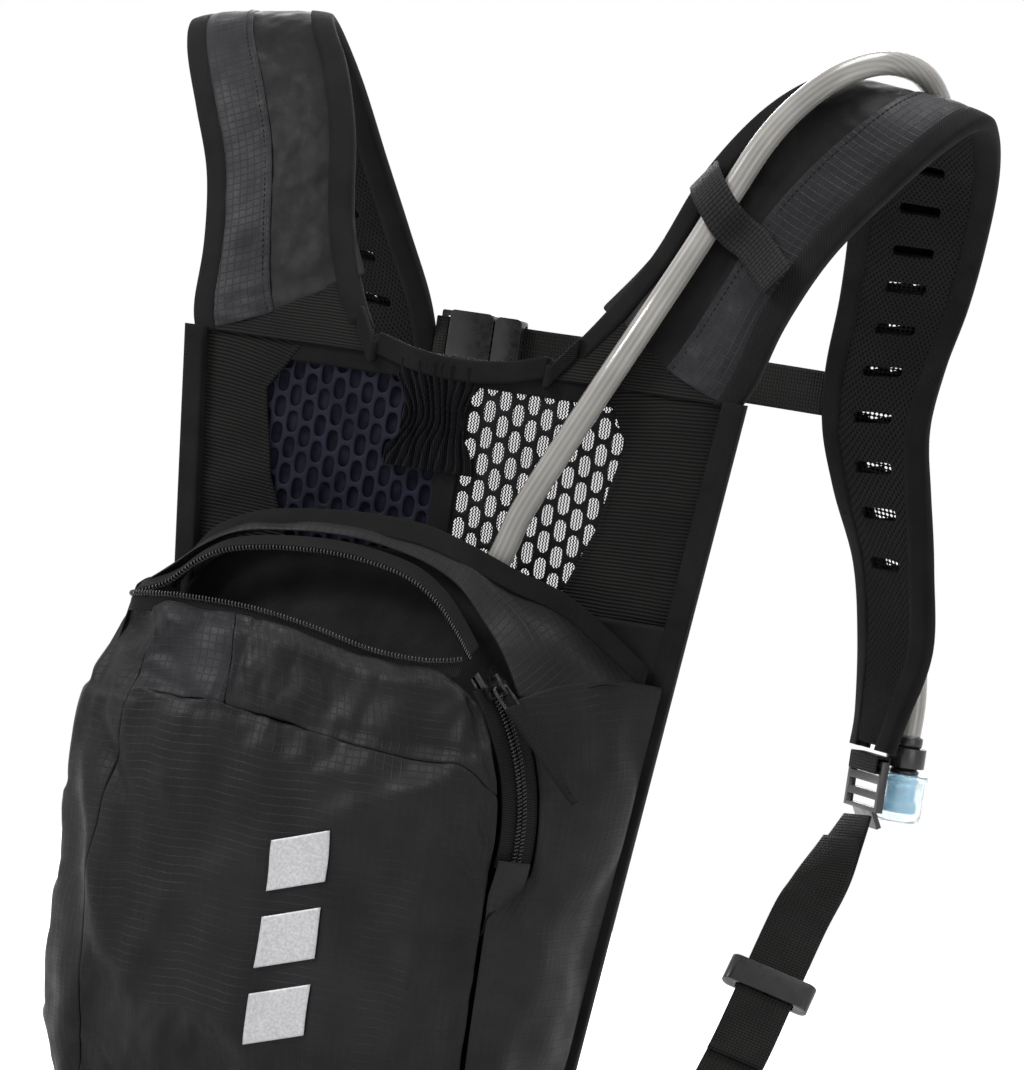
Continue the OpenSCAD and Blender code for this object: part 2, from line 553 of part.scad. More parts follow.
// Rounded plate in X and Z, t thick along Y
module plate(x0, x1, h, t, r) rotate([90, 0, 0]) linear_extrude(t, center = true) {
    translate([x0 + r, -h / 2]) square([x1 - x0 - 2 * r, h]);
    translate([x0, -h / 2 + r]) square([x1 - x0, h - 2 * r]);
    for (x = [x0 + r, x1 - r]) for (z = [r - h / 2, h / 2 - r]) translate([x, z]) circle(r = r, $fn = 32);
}
module buckle_socket() color(jet) translate(chest) difference() {
    union() {
        plate(-84, -63.2, 26, 7.4, 2.5);
        plate(-88.4, -80, 25, 3, 1);
    }
    translate([-86.2, -5, -10]) cube([2.6, 10, 20]);
    translate([-80.6, -2.4, -10.2]) cube([20, 4.8, 20.4]);
    for (s = [-1, 1]) translate([-76, -2.4, s * 11.5 - 3]) cube([8, 4.8, 6]);
}
module buckle_plug() color(jet) translate(chest) {
    difference() {
        translate([0, 1.2, 0]) plate(-62.6, -50, 25, 8.4, 2.5);
        translate([-64, web_back - 1, -chest_w / 2 - 0.5]) cube([16, 2, chest_w + 1]);
    }
    for (s = [-1, 1]) {
        translate([-79, -2, s * 7.3 - 1.2]) cube([17, 3.8, 2.4]);
        translate([-77, -2, s * 8.7 - 1.2]) cube([6, 3.8, 2.4]);
    }
    translate([-77, -1.5, -1.5]) cube([15, 3, 3]);
}

// ---- lower webbing and its hardware ----
lock_at = [129, 218, 0];
lock_turn = -47;
lock_z = 36;
lock_w = 31;
module at_lock() translate(lock_at) rotate([0, 0, lock_turn]) children();
// Ladder lock: a frame with three bars and a lifting tab
module ladder_lock() color(jet) at_lock() {
    difference() {
        translate([-lock_w / 2, -1.6, lock_z - 11]) cube([lock_w, 3.2, 22]);
        for (z = [-0.6, -7.4]) translate([-13.2, -5, lock_z + z - 1.7]) cube([26.4, 10, 3.4]);
        translate([-13.2, -5, lock_z + 4.5]) cube([26.4, 10, 10]);
    }
    translate([-13.4, 0, lock_z + 9.4]) rotate([0, 90, 0]) cylinder(d = 3.2, h = 26.8, $fn = 32);
    translate([-9, -0.6, lock_z - 10.8]) rotate([28, 0, 0]) translate([0, 0, -9]) cube([18, 2.2, 9.4]);
}
module ladder_lock_left() mirror([1, 0, 0]) ladder_lock();
module ladder_lock_right() ladder_lock();
// Webbing loop from the strap's end round the top bar of the lock
module lock_loop() color(jet) at_lock() rotate([90, 0, 90]) linear_extrude(web_w, center = true)
    difference() {
        translate([-3.5, lock_z + 5.3]) square([7, 7.8]);
        translate([-2.3, lock_z + 6.5]) square([4.6, 5.4]);
    }
module lock_loops() {
    lock_loop();
    mirror([1, 0, 0]) lock_loop();
}
// Centre and width direction of the webbing from the lock to the lower corner of the back
web_rows = [
    [128, 215.5, 22, 0.68, -0.73, 0.1], [124, 209, 6, 0.85, -0.45, 0.1], [120, 200, -10, 0.95, 0, 0],
    [117, 188, -24, 0.95, 0.18, -0.23], [114, 167, -52, 0.95, 0.18, -0.23],
    [111, 146, -80, 0.95, 0.18, -0.23],
    [107, 118, -108, 0.95, 0.1, -0.2], [102, 84, -130, 0.9, 0.1, 0.1], [97, 48, -142, 0.7, 0, 0.7],
    [91, 16, -142, 0.3, 0, 0.95], [88.6, -3, -138, 0.1, 0, 1]
];
W = spline(web_rows, 3);
WC = [for (r = W) [r[0], r[1], r[2]]];
WL = [for (r = W) [r[3], r[4], r[5]]];
tail_gap = 2;
tail_from = 3;
tail_to = 19;
module lower_web() color(black) {
    loft(band(WC, WL, [for (r = W) web_w], [for (r = W) web_t]));
    P = [for (i = [tail_from:tail_to]) WC[i] + unit(cross(along(WC, i), WL[i])) * tail_gap];
    loft(band(P, [for (i = [tail_from:tail_to]) WL[i]], [for (p = P) web_w], [for (p = P) web_t]));
}
module lower_web_left() mirror([1, 0, 0]) lower_web();
module lower_web_right() lower_web();
// Tri-glide: a frame round both layers, with a bar between them at the back
glide_dir = unit([-3, -21, -28]);
glide_side = unit([0.95, 0.18, -0.23] - glide_dir * ([0.95, 0.18, -0.23] * glide_dir));
glide_at = [114, 167, -52] + unit(cross(glide_dir, [0.95, 0.18, -0.23])) * tail_gap / 2;
glide_yaw = atan2(glide_side[1], glide_side[0]);
glide_pitch = -asin(glide_side[2]);
glide_n = cross(glide_dir, glide_side);
function roll_about(n) =
    let (y = [-sin(glide_yaw), cos(glide_yaw), 0], z = cross(glide_side, y)) atan2(n * z, n * y);
module at_glide() translate(glide_at) rotate([0, glide_pitch, glide_yaw]) rotate([roll_about(glide_n), 0, 0])
    children();
module tri_glide() color(jet) at_glide() difference() {
    union() {
        translate([-15.5, -3.9, -6]) cube([31, 7.8, 12]);
        for (s = [-1, 1]) translate([s * 15.5, 0, -6]) cylinder(d = 7.8, h = 12, $fn = 32);
    }
    translate([-13.2, -2.3, -7]) cube([26.4, 4.6, 14]);
    translate([-13.2, -5, -2.6]) cube([26.4, 4, 5.2]);
}
module tri_glide_left() mirror([1, 0, 0]) tri_glide();
module tri_glide_right() tri_glide();

// ---- reflective mark: three slanted bars on the front ----
bar_w = 24;
bar_tall = 20;
bar_step = 30;
module reflector() color(silver) for (k = [0:2]) panel([
    for (i = [0:3]) let (z = -2 - k * bar_step - bar_tall * (1 - i / 3)) [
        for (j = [0:3]) let (x = -20 + bar_w * j / 3) [x, front_y(z) + crown_y(x) - 0.8, z + 8 * j / 3]
    ]
], 0.3);

back_mesh();
back_foam();
back_lining();
divider_panel();
left_gusset();
right_gusset();
bottom_panel();
front_panel();
top_panel_left();
top_panel_right();
arch_gusset();
flap_binding();
zip_tape_rear();
zip_tape_front();
zip_teeth_rear();
zip_teeth_front();
zip_garage();
zip_slider();
zip_bail();
zip_puller();
yoke_side_left();
yoke_side_right();
net_left();
net_right();
yoke_spine();
yoke_lining();
strap_cover_left();
strap_cover_right();
strap_foam_left();
strap_foam_right();
strap_liner_left();
strap_liner_right();
outer_binding_left();
outer_binding_right();
inner_binding();
hose_keeper();
hose();
valve_body();
valve_lever();
mouthpiece();
dust_cap();
reservoir();
closure_bar();
port_socket();
port_button();
hose_elbow();
hanger_loop();
chest_web();
chest_loop();
buckle_socket();
buckle_plug();
lock_loops();
ladder_lock_left();
ladder_lock_right();
lower_web_left();
lower_web_right();
tri_glide_left();
tri_glide_right();
reflector();
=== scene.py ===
"""Looks of the hydration pack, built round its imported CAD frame.

Metres, +Z up and +Y towards the wearer, as in the CAD part. Each new piece stands where the
CAD pieces that it replaces stand, and rides on their body.
"""
import json
import math

import bmesh
import bpy
import numpy as np
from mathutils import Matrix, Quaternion, Vector

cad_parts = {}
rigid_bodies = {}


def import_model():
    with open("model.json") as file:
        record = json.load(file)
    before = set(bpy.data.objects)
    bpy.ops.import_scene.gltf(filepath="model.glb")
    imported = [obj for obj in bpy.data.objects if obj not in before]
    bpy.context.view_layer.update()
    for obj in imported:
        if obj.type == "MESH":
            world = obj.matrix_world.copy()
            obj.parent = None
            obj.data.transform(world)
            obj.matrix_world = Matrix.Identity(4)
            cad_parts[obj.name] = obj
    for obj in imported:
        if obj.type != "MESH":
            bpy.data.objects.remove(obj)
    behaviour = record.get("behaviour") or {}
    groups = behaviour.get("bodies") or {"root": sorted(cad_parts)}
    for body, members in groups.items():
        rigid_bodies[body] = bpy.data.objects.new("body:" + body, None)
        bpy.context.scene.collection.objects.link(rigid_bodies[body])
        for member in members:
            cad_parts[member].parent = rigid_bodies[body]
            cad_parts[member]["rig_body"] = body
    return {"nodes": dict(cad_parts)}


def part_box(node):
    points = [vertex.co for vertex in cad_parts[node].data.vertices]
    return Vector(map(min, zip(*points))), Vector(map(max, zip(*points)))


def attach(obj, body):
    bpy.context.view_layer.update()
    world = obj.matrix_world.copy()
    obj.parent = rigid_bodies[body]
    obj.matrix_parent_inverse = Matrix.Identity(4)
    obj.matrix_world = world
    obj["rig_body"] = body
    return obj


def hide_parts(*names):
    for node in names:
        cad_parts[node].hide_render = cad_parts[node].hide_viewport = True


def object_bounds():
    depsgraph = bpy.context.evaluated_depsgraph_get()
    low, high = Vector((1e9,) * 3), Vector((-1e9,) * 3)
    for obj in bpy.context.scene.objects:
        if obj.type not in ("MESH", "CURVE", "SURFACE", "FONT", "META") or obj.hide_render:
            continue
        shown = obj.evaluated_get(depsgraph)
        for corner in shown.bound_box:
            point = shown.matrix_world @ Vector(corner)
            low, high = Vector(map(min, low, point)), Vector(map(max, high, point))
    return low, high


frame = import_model()
CAD_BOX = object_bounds()
MM = 0.001
MIRROR = np.array([-1.0, 1.0, 1.0])

# ---- numbers along curves and surfaces ----


def ramp(start, end, x):
    """Smooth step: 0 up to start, 1 from end on, and the cubic 3t^2 - 2t^3 between them."""
    t = np.clip((x - start) / (end - start), 0, 1)
    return t * t * (3 - 2 * t)


def mix(a, b, t):
    """a at t = 0 and b at t = 1."""
    return a + (b - a) * t


def unit(v):
    """Each vector divided by its length."""
    return v / np.maximum(np.linalg.norm(v, axis=-1, keepdims=True), 1e-12)


def curve(rows, steps):
    """Catmull-Rom curve through the rows, with the same number of steps between each two."""
    p = np.asarray(rows, float)
    q = np.vstack([p[:1], p, p[-1:]])
    t = np.arange(steps) / steps
    weights = 0.5 * np.stack([
        -t + 2 * t**2 - t**3, 2 - 5 * t**2 + 3 * t**3, t + 4 * t**2 - 3 * t**3, t**3 - t**2,
    ])
    spans = np.lib.stride_tricks.sliding_window_view(q, 4, axis=0)
    return np.vstack([np.einsum("sdk,kt->std", spans, weights).reshape(-1, p.shape[1]), p[-1:]])


def lengths(path):
    """Distance along the path from its start to each point."""
    return np.r_[0, np.cumsum(np.linalg.norm(np.diff(path[:, :3], axis=0), axis=1))]


def sample(rows, at):
    """Every column of the rows at the given distances along the path of the first three."""
    along = lengths(rows)
    return np.stack([np.interp(at, along, column) for column in rows.T], -1)


def evenly(rows, count):
    """The path of the rows again, with count rows at equal distances."""
    return sample(rows, np.linspace(0, lengths(rows)[-1], count))


def tangents(path):
    """Unit direction of the path at each point, from its neighbours."""
    return unit(np.gradient(path, axis=0))


def ripples(p, size, seed, waves=9):
    """Soft uneven waves about size apart: a sum of sines in seeded random directions."""
    rng = np.random.default_rng(seed)
    turn = unit(rng.normal(size=(waves, p.shape[-1]))) * 2 * np.pi / size
    rate = rng.uniform(0.6, 1.5, waves)
    shift = rng.uniform(0, 2 * np.pi, waves)
    return np.sin((p @ turn.T) * rate + shift).sum(-1) / waves**0.5


def fold(x, z, start, end, width, height):
    """A crease: a bell-shaped ridge across the line from start to end, fading at both ends."""
    start, end = np.array(start) * MM, np.array(end) * MM
    line = end - start
    t = ((x - start[0]) * line[0] + (z - start[1]) * line[1]) / (line @ line)
    near = np.clip(t, 0, 1)
    off = np.hypot(x - start[0] - near * line[0], z - start[1] - near * line[1]) / (width * MM)
    return height * MM * np.exp(-off**2) * np.sin(np.pi * np.clip(near * 0.9 + 0.05, 0, 1)) ** 0.5


def normals(grid):
    """Unit normals of a grid whose columns run right and whose rows run up, seen from outside."""
    return unit(np.cross(np.gradient(grid, axis=1), np.gradient(grid, axis=0)))


# ---- meshes ----


def build(name, points, quads, uv, closed=False):
    """A mesh of quads. uv has a place for each corner, and a closed one is turned to face outwards."""
    if closed:
        a, b, c, d = (points[quads[:, k]] for k in range(4))
        if np.einsum("ij,ij->", a + c, np.cross(b - a, c - a) + np.cross(c - a, d - a)) < 0:
            quads, uv = quads[:, ::-1], uv[:, ::-1]
    used, quads = np.unique(quads, return_inverse=True)
    points, quads = points[used], quads.reshape(-1, 4)
    mesh = bpy.data.meshes.new(name)
    mesh.vertices.add(len(points))
    mesh.vertices.foreach_set("co", np.ascontiguousarray(points, np.float32).ravel())
    mesh.loops.add(quads.size)
    mesh.loops.foreach_set("vertex_index", quads.ravel().astype(np.int32))
    mesh.polygons.add(len(quads))
    mesh.polygons.foreach_set("loop_start", np.arange(len(quads), dtype=np.int32) * 4)
    mesh.polygons.foreach_set("use_smooth", np.ones(len(quads), bool))
    layer = mesh.uv_layers.new(name="cloth")
    mesh.update(calc_edges=True)
    layer.uv.foreach_set("vector", np.ascontiguousarray(uv, np.float32).ravel())
    return mesh


def grid_mesh(name, grid, keep=None):
    """A sheet over a grid of points, whose UV is the distance along its rows and columns in metres."""
    rows, columns = grid.shape[:2]
    i, j = np.mgrid[0:rows - 1, 0:columns - 1]
    a = i * columns + j
    quads = np.stack([a, a + 1, a + columns + 1, a + columns], -1)
    quads = (quads if keep is None else quads[keep]).reshape(-1, 4)
    across = np.zeros((rows, columns))
    across[:, 1:] = np.cumsum(np.linalg.norm(np.diff(grid, axis=1), axis=2), axis=1)
    across -= across[:, columns // 2, None]
    up = np.zeros((rows, columns))
    up[1:] = np.cumsum(np.linalg.norm(np.diff(grid, axis=0), axis=2), axis=0)
    uv = np.stack([across, up], -1).reshape(-1, 2)
    return build(name, grid.reshape(-1, 3), quads, uv[quads])


def ring_mesh(name, rings, wrap=False):
    """A skin round closed sections carried along a path. Its ends are closed, or joined by wrap."""
    n, k = rings.shape[:2]
    steps = n if wrap else n - 1
    i, j = np.mgrid[0:steps, 0:k]
    after, beside = (i + 1) % n, (j + 1) % k
    walls = np.stack([i * k + j, i * k + beside, after * k + beside, after * k + j], -1)
    round_by = np.zeros((n, k + 1))
    round_by[:, 1:] = np.cumsum(np.linalg.norm(np.roll(rings, -1, 1) - rings, axis=2), axis=1)
    along = lengths(np.vstack([rings.mean(1), rings.mean(1)[:1]]))[:, None] + 0 * round_by[:1]
    u = np.stack([round_by[i, j], round_by[i, j + 1], round_by[after, j + 1], round_by[after, j]], -1)
    v = np.stack([along[i, 0], along[i, 0], along[i + 1, 0], along[i + 1, 0]], -1)
    quads, uv = walls.reshape(-1, 4), np.stack([u, v], -1).reshape(-1, 4, 2)
    if not wrap:
        c = np.arange(k // 2 - 1)
        cap = np.stack([c, c + 1, k - 2 - c, k - 1 - c], -1)
        quads = np.vstack([quads, cap[:, ::-1], cap + (n - 1) * k])
        uv = np.vstack([uv, np.zeros((2 * len(cap), 4, 2))])
    return build(name, rings.reshape(-1, 3), quads, uv, closed=True)


def many(name, parts):
    """One mesh from several, each kept as its own shell."""
    joined = bmesh.new()
    for part in parts:
        joined.from_mesh(part)
        bpy.data.meshes.remove(part)
    mesh = bpy.data.meshes.new(name)
    joined.to_mesh(mesh)
    joined.free()
    return mesh


def weld(mesh, distance=2e-6, outward=True):
    """Joins points that lie on each other, and may turn the faces outwards."""
    shape = bmesh.new()
    shape.from_mesh(mesh)
    bmesh.ops.remove_doubles(shape, verts=shape.verts, dist=distance)
    if outward:
        bmesh.ops.recalc_face_normals(shape, faces=shape.faces)
    shape.to_mesh(mesh)
    shape.free()
    return mesh


def flat_section(points=8, edge=0.25):
    """Section of a flat tape, half width 1 and half thickness 1: |across|^8 + |through|^8 = 1."""
    s = np.sin(np.linspace(-1, 1, points) * np.pi / 2)
    h = np.maximum(edge, (1 - np.minimum(s**8, 1)) ** 0.125)
    top = np.stack([s, h], 1)
    return np.vstack([top, (top * [1, -1])[::-1]])


def round_section(points=16):
    """Section of a round cord of radius 1."""
    a = np.linspace(0, 2 * np.pi, points, endpoint=False) + np.pi / points
    return np.stack([np.cos(a), np.sin(a)], 1)


def carry(path, side, across, through, section):
    """Rings of a section along a path: across scales it along side, through along side x direction."""
    side = unit(side)
    normal = unit(np.cross(tangents(path), side))
    scale = np.stack(np.broadcast_arrays(across, through), -1) * np.ones((len(path), 1))
    flat = section[None] * scale[:, None]
    return path[:, None] + flat[..., :1] * side[:, None] + flat[..., 1:] * normal[:, None]


def any_side(path):
    """A direction square to the path that turns as little as it can."""
    d = tangents(path)
    return unit(np.cross(d, np.array([0.3, 1.0, 0.1])))


def turned(name, profile, at, sides=48):
    """A shape turned about a vertical axis at a point, from rows of radius and height."""
    a = np.linspace(0, 2 * np.pi, sides, endpoint=False)[:, None]
    r, z = np.asarray(profile, float).T * MM
    rings = np.stack([r * np.cos(a), r * np.sin(a), z + 0 * a], -1) + np.asarray(at)
    return weld(ring_mesh(name, rings, wrap=True))


def net_mesh(name, centres, u, v, outer, inner):
    """A flat net: for each centre, a ring between an outer and an inner outline in u and v."""
    n, k = len(centres), len(outer)
    place = lambda flat: (centres[:, None] + flat[None, :, :1] * u + flat[None, :, 1:] * v)
    points = np.concatenate([place(outer), place(inner)], 1)
    start = np.arange(n)[:, None] * 2 * k
    j = np.arange(k)[None]
    after = (j + 1) % k
    quads = np.stack([start + j, start + after, start + k + after, start + k + j], -1).reshape(-1, 4)
    flat = points.reshape(-1, 3)
    uv = np.stack([flat[:, 0], flat[:, 2]], -1)
    return weld(build(name, flat, quads, uv[quads]), 0.02 * MM, outward=False)


def piece(name, mesh, material, stands_for=(), body="pack"):
    """A finished piece on its body, standing for the CAD nodes that it replaces."""
    made = bpy.data.objects.new(name, mesh)
    bpy.context.scene.collection.objects.link(made)
    mesh.materials.clear()
    mesh.materials.append(material)
    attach(made, body)
    if stands_for:
        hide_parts(*stands_for)
    return made


def thicken(made, thickness, levels=1):
    """Gives a sheet its thickness, inwards from its face, and rounds its edges."""
    solid = made.modifiers.new("thickness", "SOLIDIFY")
    solid.thickness = thickness * MM
    solid.offset = -1
    if levels:
        soft = made.modifiers.new("soft", "SUBSURF")
        soft.levels = soft.render_levels = levels
    return made


def panel(name, grid, material, stands_for, thickness, levels=1):
    """A cloth panel over a grid of points, with its thickness in millimetres."""
    return thicken(piece(name, grid_mesh(name, grid), material, stands_for), thickness, levels)


def moulded(node, material, radius, segments=2):
    """A copy of a CAD node, merged and with its edges rounded, that stands for the node."""
    source = frame["nodes"][node]
    mesh = source.data.copy()
    shape = bmesh.new()
    shape.from_mesh(mesh)
    bmesh.ops.remove_doubles(shape, verts=shape.verts, dist=0.01 * MM)
    bmesh.ops.dissolve_limit(
        shape, angle_limit=math.radians(2), verts=shape.verts, edges=shape.edges)
    shape.to_mesh(mesh)
    shape.free()
    made = piece(node + "_moulded", mesh, material, [node], source["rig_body"])
    bevel = made.modifiers.new("edges", "BEVEL")
    bevel.width = radius * MM
    bevel.segments = segments
    bevel.limit_method = "ANGLE"
    bevel.angle_limit = math.radians(32)
    depsgraph = bpy.context.evaluated_depsgraph_get()
    rounded = bpy.data.meshes.new_from_object(made.evaluated_get(depsgraph))
    made.modifiers.clear()
    made.data = rounded
    rounded.polygons.foreach_set("use_smooth", np.ones(len(rounded.polygons), bool))
    rounded.set_sharp_from_angle(angle=math.radians(38))
    project(rounded)
    return made


def project(mesh):
    """UV in metres seen along the axis that each face looks along most."""
    places_of = np.empty(len(mesh.vertices) * 3, np.float32)
    mesh.vertices.foreach_get("co", places_of)
    corners = np.empty(len(mesh.loops), np.int32)
    mesh.loops.foreach_get("vertex_index", corners)
    facing = np.empty(len(mesh.polygons) * 3, np.float32)
    mesh.polygons.foreach_get("normal", facing)
    counts = np.empty(len(mesh.polygons), np.int32)
    mesh.polygons.foreach_get("loop_total", counts)
    axis = np.repeat(np.abs(facing.reshape(-1, 3)).argmax(1), counts)
    at = places_of.reshape(-1, 3)[corners]
    pick = np.array([[1, 2], [0, 2], [0, 1]])[axis]
    uv = np.take_along_axis(at, pick, 1)
    layer = mesh.uv_layers.new(name="cloth")
    layer.uv.foreach_set("vector", np.ascontiguousarray(uv, np.float32).ravel())


def stitches(name, path, normal, pitch=2.6, size=1.7, thick=0.42):
    """A row of thread stitches lying along a path, each a small spindle of three square rings."""
    total = lengths(path)[-1]
    at = np.arange(pitch * MM / 2, total, pitch * MM)
    rows = sample(np.hstack([path, normal, tangents(path)]), at)
    centre, up, ahead = rows[:, :3], unit(rows[:, 3:6]), unit(rows[:, 6:9])
    side = unit(np.cross(up, ahead))
    along = np.array([-0.5, 0, 0.5]) * size * MM
    fat = np.array([0.45, 1.0, 0.45]) * thick * MM / 2
    sink = np.array([-0.1, 0.12, -0.1]) * MM
    corners = np.array([[1, 0], [0, 1], [-1, 0], [0, -1]])
    rings = (
        centre[:, None, None]
        + ahead[:, None, None] * along[None, :, None, None]
        + up[:, None, None] * sink[None, :, None, None]
        + side[:, None, None] * (fat[:, None] * corners[:, 0])[None, :, :, None]
        + up[:, None, None] * (fat[:, None] * corners[:, 1])[None, :, :, None]
    )
    i, j = np.mgrid[0:2, 0:4]
    walls = np.stack([i * 4 + j, i * 4 + (j + 1) % 4, i * 4 + 4 + (j + 1) % 4, i * 4 + 4 + j], -1)
    one = np.vstack([walls.reshape(-1, 4), [[3, 2, 1, 0]], [[8, 9, 10, 11]]])
    quads = (one[None] + np.arange(len(centre))[:, None, None] * 12).reshape(-1, 4)
    return build(name, rings.reshape(-1, 3), quads, np.zeros((len(quads), 4, 2)), closed=True)


# ---- materials ----
SOCKETS = {
    "colour": "Base Color", "rough": "Roughness", "metal": "Metallic", "sheen": "Sheen Weight",
    "sheen_rough": "Sheen Roughness", "sheen_tint": "Sheen Tint", "coat": "Coat Weight",
    "coat_rough": "Coat Roughness", "through": "Transmission Weight", "ior": "IOR",
    "alpha": "Alpha", "specular": "Specular IOR Level", "inside": "Subsurface Weight",
    "inside_scale": "Subsurface Scale",
}


def shader(name, **numbers):
    """A material of one Principled shader with these numbers on its sockets."""
    material = bpy.data.materials.new(name)
    material.use_nodes = True
    principled = material.node_tree.nodes["Principled BSDF"]
    for word, value in numbers.items():
        colour = word in ("colour", "sheen_tint")
        principled.inputs[SOCKETS[word]].default_value = (*value, 1) if colour else value
    return material


def node(material, kind, *sources, out=0, **settings):
    """A node whose inputs take numbers or other nodes' outputs in order. Returns one output."""
    made = material.node_tree.nodes.new("ShaderNode" + kind)
    for word, value in settings.items():
        setattr(made, word, value)
    for socket, source in zip(made.inputs, sources):
        if isinstance(source, bpy.types.NodeSocket):
            material.node_tree.links.new(source, socket)
        elif source is not None:
            socket.default_value = source
    return made.outputs[out]


def calc(material, operation, a, b=None, c=None):
    """One sum on numbers."""
    return node(material, "Math", a, b, c, operation=operation)


def spread(material, value, low, high, to_low=0.0, to_high=1.0):
    """value from low to high, stretched to another range and held at its ends."""
    return node(material, "MapRange", value, low, high, to_low, to_high)


def places(material, source="UV"):
    """The three coordinates of UV or Object space, in metres."""
    output = {"UV": 2, "Object": 3}[source]
    where = node(material, "TexCoord", out=output)
    parts = material.node_tree.nodes.new("ShaderNodeSeparateXYZ")
    material.node_tree.links.new(where, parts.inputs[0])
    return parts.outputs[0], parts.outputs[1], parts.outputs[2]


def waves(material, value, pitch):
    """Waves of the given pitch in millimetres along a coordinate, from -1 to 1."""
    return calc(material, "COSINE", calc(material, "MULTIPLY", value, 2 * math.pi / (pitch * MM)))


def grain(material, size, detail=2.0, source="Object"):
    """Noise with blotches about size millimetres across, from 0 to 1."""
    where = node(material, "TexCoord", out={"UV": 2, "Object": 3}[source])
    return node(material, "TexNoise", where, None, 1 / (size * MM), detail, noise_dimensions="3D")


def paint(material, amount, dark, light):
    """Base colour from dark to light by an amount from 0 to 1."""
    ramped = node(material, "ValToRGB", amount)
    stops = ramped.node.color_ramp.elements
    stops[0].color, stops[1].color = (*dark, 1), (*light, 1)
    target = material.node_tree.nodes["Principled BSDF"].inputs["Base Color"]
    material.node_tree.links.new(ramped, target)


def bump(material, height, depth):
    """Raises the surface by a height from 0 to 1, depth millimetres deep."""
    made = material.node_tree.nodes.new("ShaderNodeBump")
    made.inputs["Distance"].default_value = depth * MM
    made.inputs["Strength"].default_value = 1.0
    material.node_tree.links.new(height, made.inputs["Height"])
    target = material.node_tree.nodes["Principled BSDF"].inputs["Normal"]
    material.node_tree.links.new(made.outputs[0], target)


def drive(material, socket, value):
    """Sends a pattern to one of the shader's sockets."""
    target = material.node_tree.nodes["Principled BSDF"].inputs[SOCKETS[socket]]
    material.node_tree.links.new(value, target)


def ripstop(name, dark, light):
    """Thin coated cloth with a raised thread every few millimetres each way, on a fine plain weave."""
    m = shader(name, specular=0.13, sheen=0.01, sheen_rough=0.4)
    u, v, _ = places(m)
    across, up = (spread(m, waves(m, way, 3.4), 0.86, 1.0) for way in (u, v))
    lines = calc(m, "MAXIMUM", across, up)
    weave = calc(m, "MULTIPLY", waves(m, u, 0.7), waves(m, v, 0.7))
    cloudy = spread(m, grain(m, 34), 0.3, 0.7)
    tone = calc(m, "MULTIPLY_ADD", lines, 0.14, calc(m, "MULTIPLY", cloudy, 0.6))
    paint(m, tone, dark, light)
    bump(m, calc(m, "MULTIPLY_ADD", weave, 0.1, calc(m, "MULTIPLY", lines, 0.8)), 0.14)
    drive(m, "rough", spread(m, grain(m, 12), 0.3, 0.7, 0.42, 0.6))
    return m


def plain_cloth(name, dark, light, rough=0.45):
    """Smooth soft cloth with a fine twill and cloudy wear."""
    m = shader(name, specular=0.07, sheen=0.01, sheen_rough=0.45)
    u, v, _ = places(m)
    twill = waves(m, calc(m, "ADD", u, v), 0.8)
    paint(m, spread(m, grain(m, 22, 4.0), 0.3, 0.72), dark, light)
    bump(m, calc(m, "MULTIPLY_ADD", twill, 0.12, grain(m, 2.2)), 0.12)
    drive(m, "rough", spread(m, grain(m, 9), 0.3, 0.7, rough - 0.06, rough + 0.12))
    return m


def ribbed(name, dark, light, pitch=1.5, depth=0.3, turn=False):
    """Cloth with fine raised ribs across it, with painted shade in the grooves between the ribs."""
    m = shader(name, rough=0.7, specular=0.05, sheen=0.01, sheen_rough=0.5)
    u, v, _ = places(m)
    wobble = calc(m, "MULTIPLY", grain(m, 18), 0.9 * MM)
    rib = waves(m, calc(m, "ADD", u if turn else v, wobble), pitch)
    high = calc(m, "MULTIPLY_ADD", rib, 0.5, 0.5)
    # painted shade: the colour is darkest in the grooves and lightest on the rib crests, with random tone
    # over it
    tone = calc(m, "MULTIPLY", high, spread(m, grain(m, 30), 0.25, 0.75, 0.55, 1.0))
    paint(m, tone, dark, light)
    bump(m, calc(m, "MULTIPLY_ADD", waves(m, v if turn else u, 0.6), 0.08, high), depth)
    return m


def binding_cloth():
    """Folded twill tape: fine slanted ridges, with painted shade in the grooves between them."""
    m = shader("binding_twill", rough=0.68, specular=0.05, sheen=0.01, sheen_rough=0.5)
    u, v, _ = places(m)
    ridge = waves(m, calc(m, "ADD", calc(m, "MULTIPLY", u, 1.4), v), 1.1)
    high = calc(m, "MULTIPLY_ADD", ridge, 0.5, 0.5)
    # painted shade: the colour is darkest in the grooves and lightest on the ridges, with random tone over
    # it
    tone = calc(m, "MULTIPLY", high, spread(m, grain(m, 16, 3.0), 0.3, 0.7, 0.4, 1.0))
    paint(m, tone, (0.0022, 0.0022, 0.0023), (0.0125, 0.0122, 0.012))
    bump(m, high, 0.16)
    return m


def woven_tape(name, pitch=1.3, dark=(0.003, 0.003, 0.003), light=(0.021, 0.02, 0.019), depth=0.32):
    """Webbing: plump cross ribs split into thread bundles that step sideways from row to row, with painted
    shade in the grooves between them.
    """
    m = shader(name, rough=0.6, specular=0.08, sheen=0.01, sheen_rough=0.4)
    u, v, _ = places(m)
    step = calc(m, "MULTIPLY", waves(m, v, pitch * 2), 0.22 * pitch * MM)
    bundle = waves(m, calc(m, "ADD", u, step), pitch * 1.25)
    rib = waves(m, v, pitch)
    high = calc(m, "MULTIPLY_ADD", calc(m, "ADD", rib, calc(m, "MULTIPLY", bundle, 0.7)), 0.29, 0.5)
    # painted shade: the colour is darkest in the grooves and lightest on the raised ribs, with random tone
    # over it
    tone = calc(m, "MULTIPLY", high, spread(m, grain(m, 14, 3.0), 0.25, 0.75, 0.5, 1.0))
    paint(m, tone, dark, light)
    bump(m, high, depth)
    return m


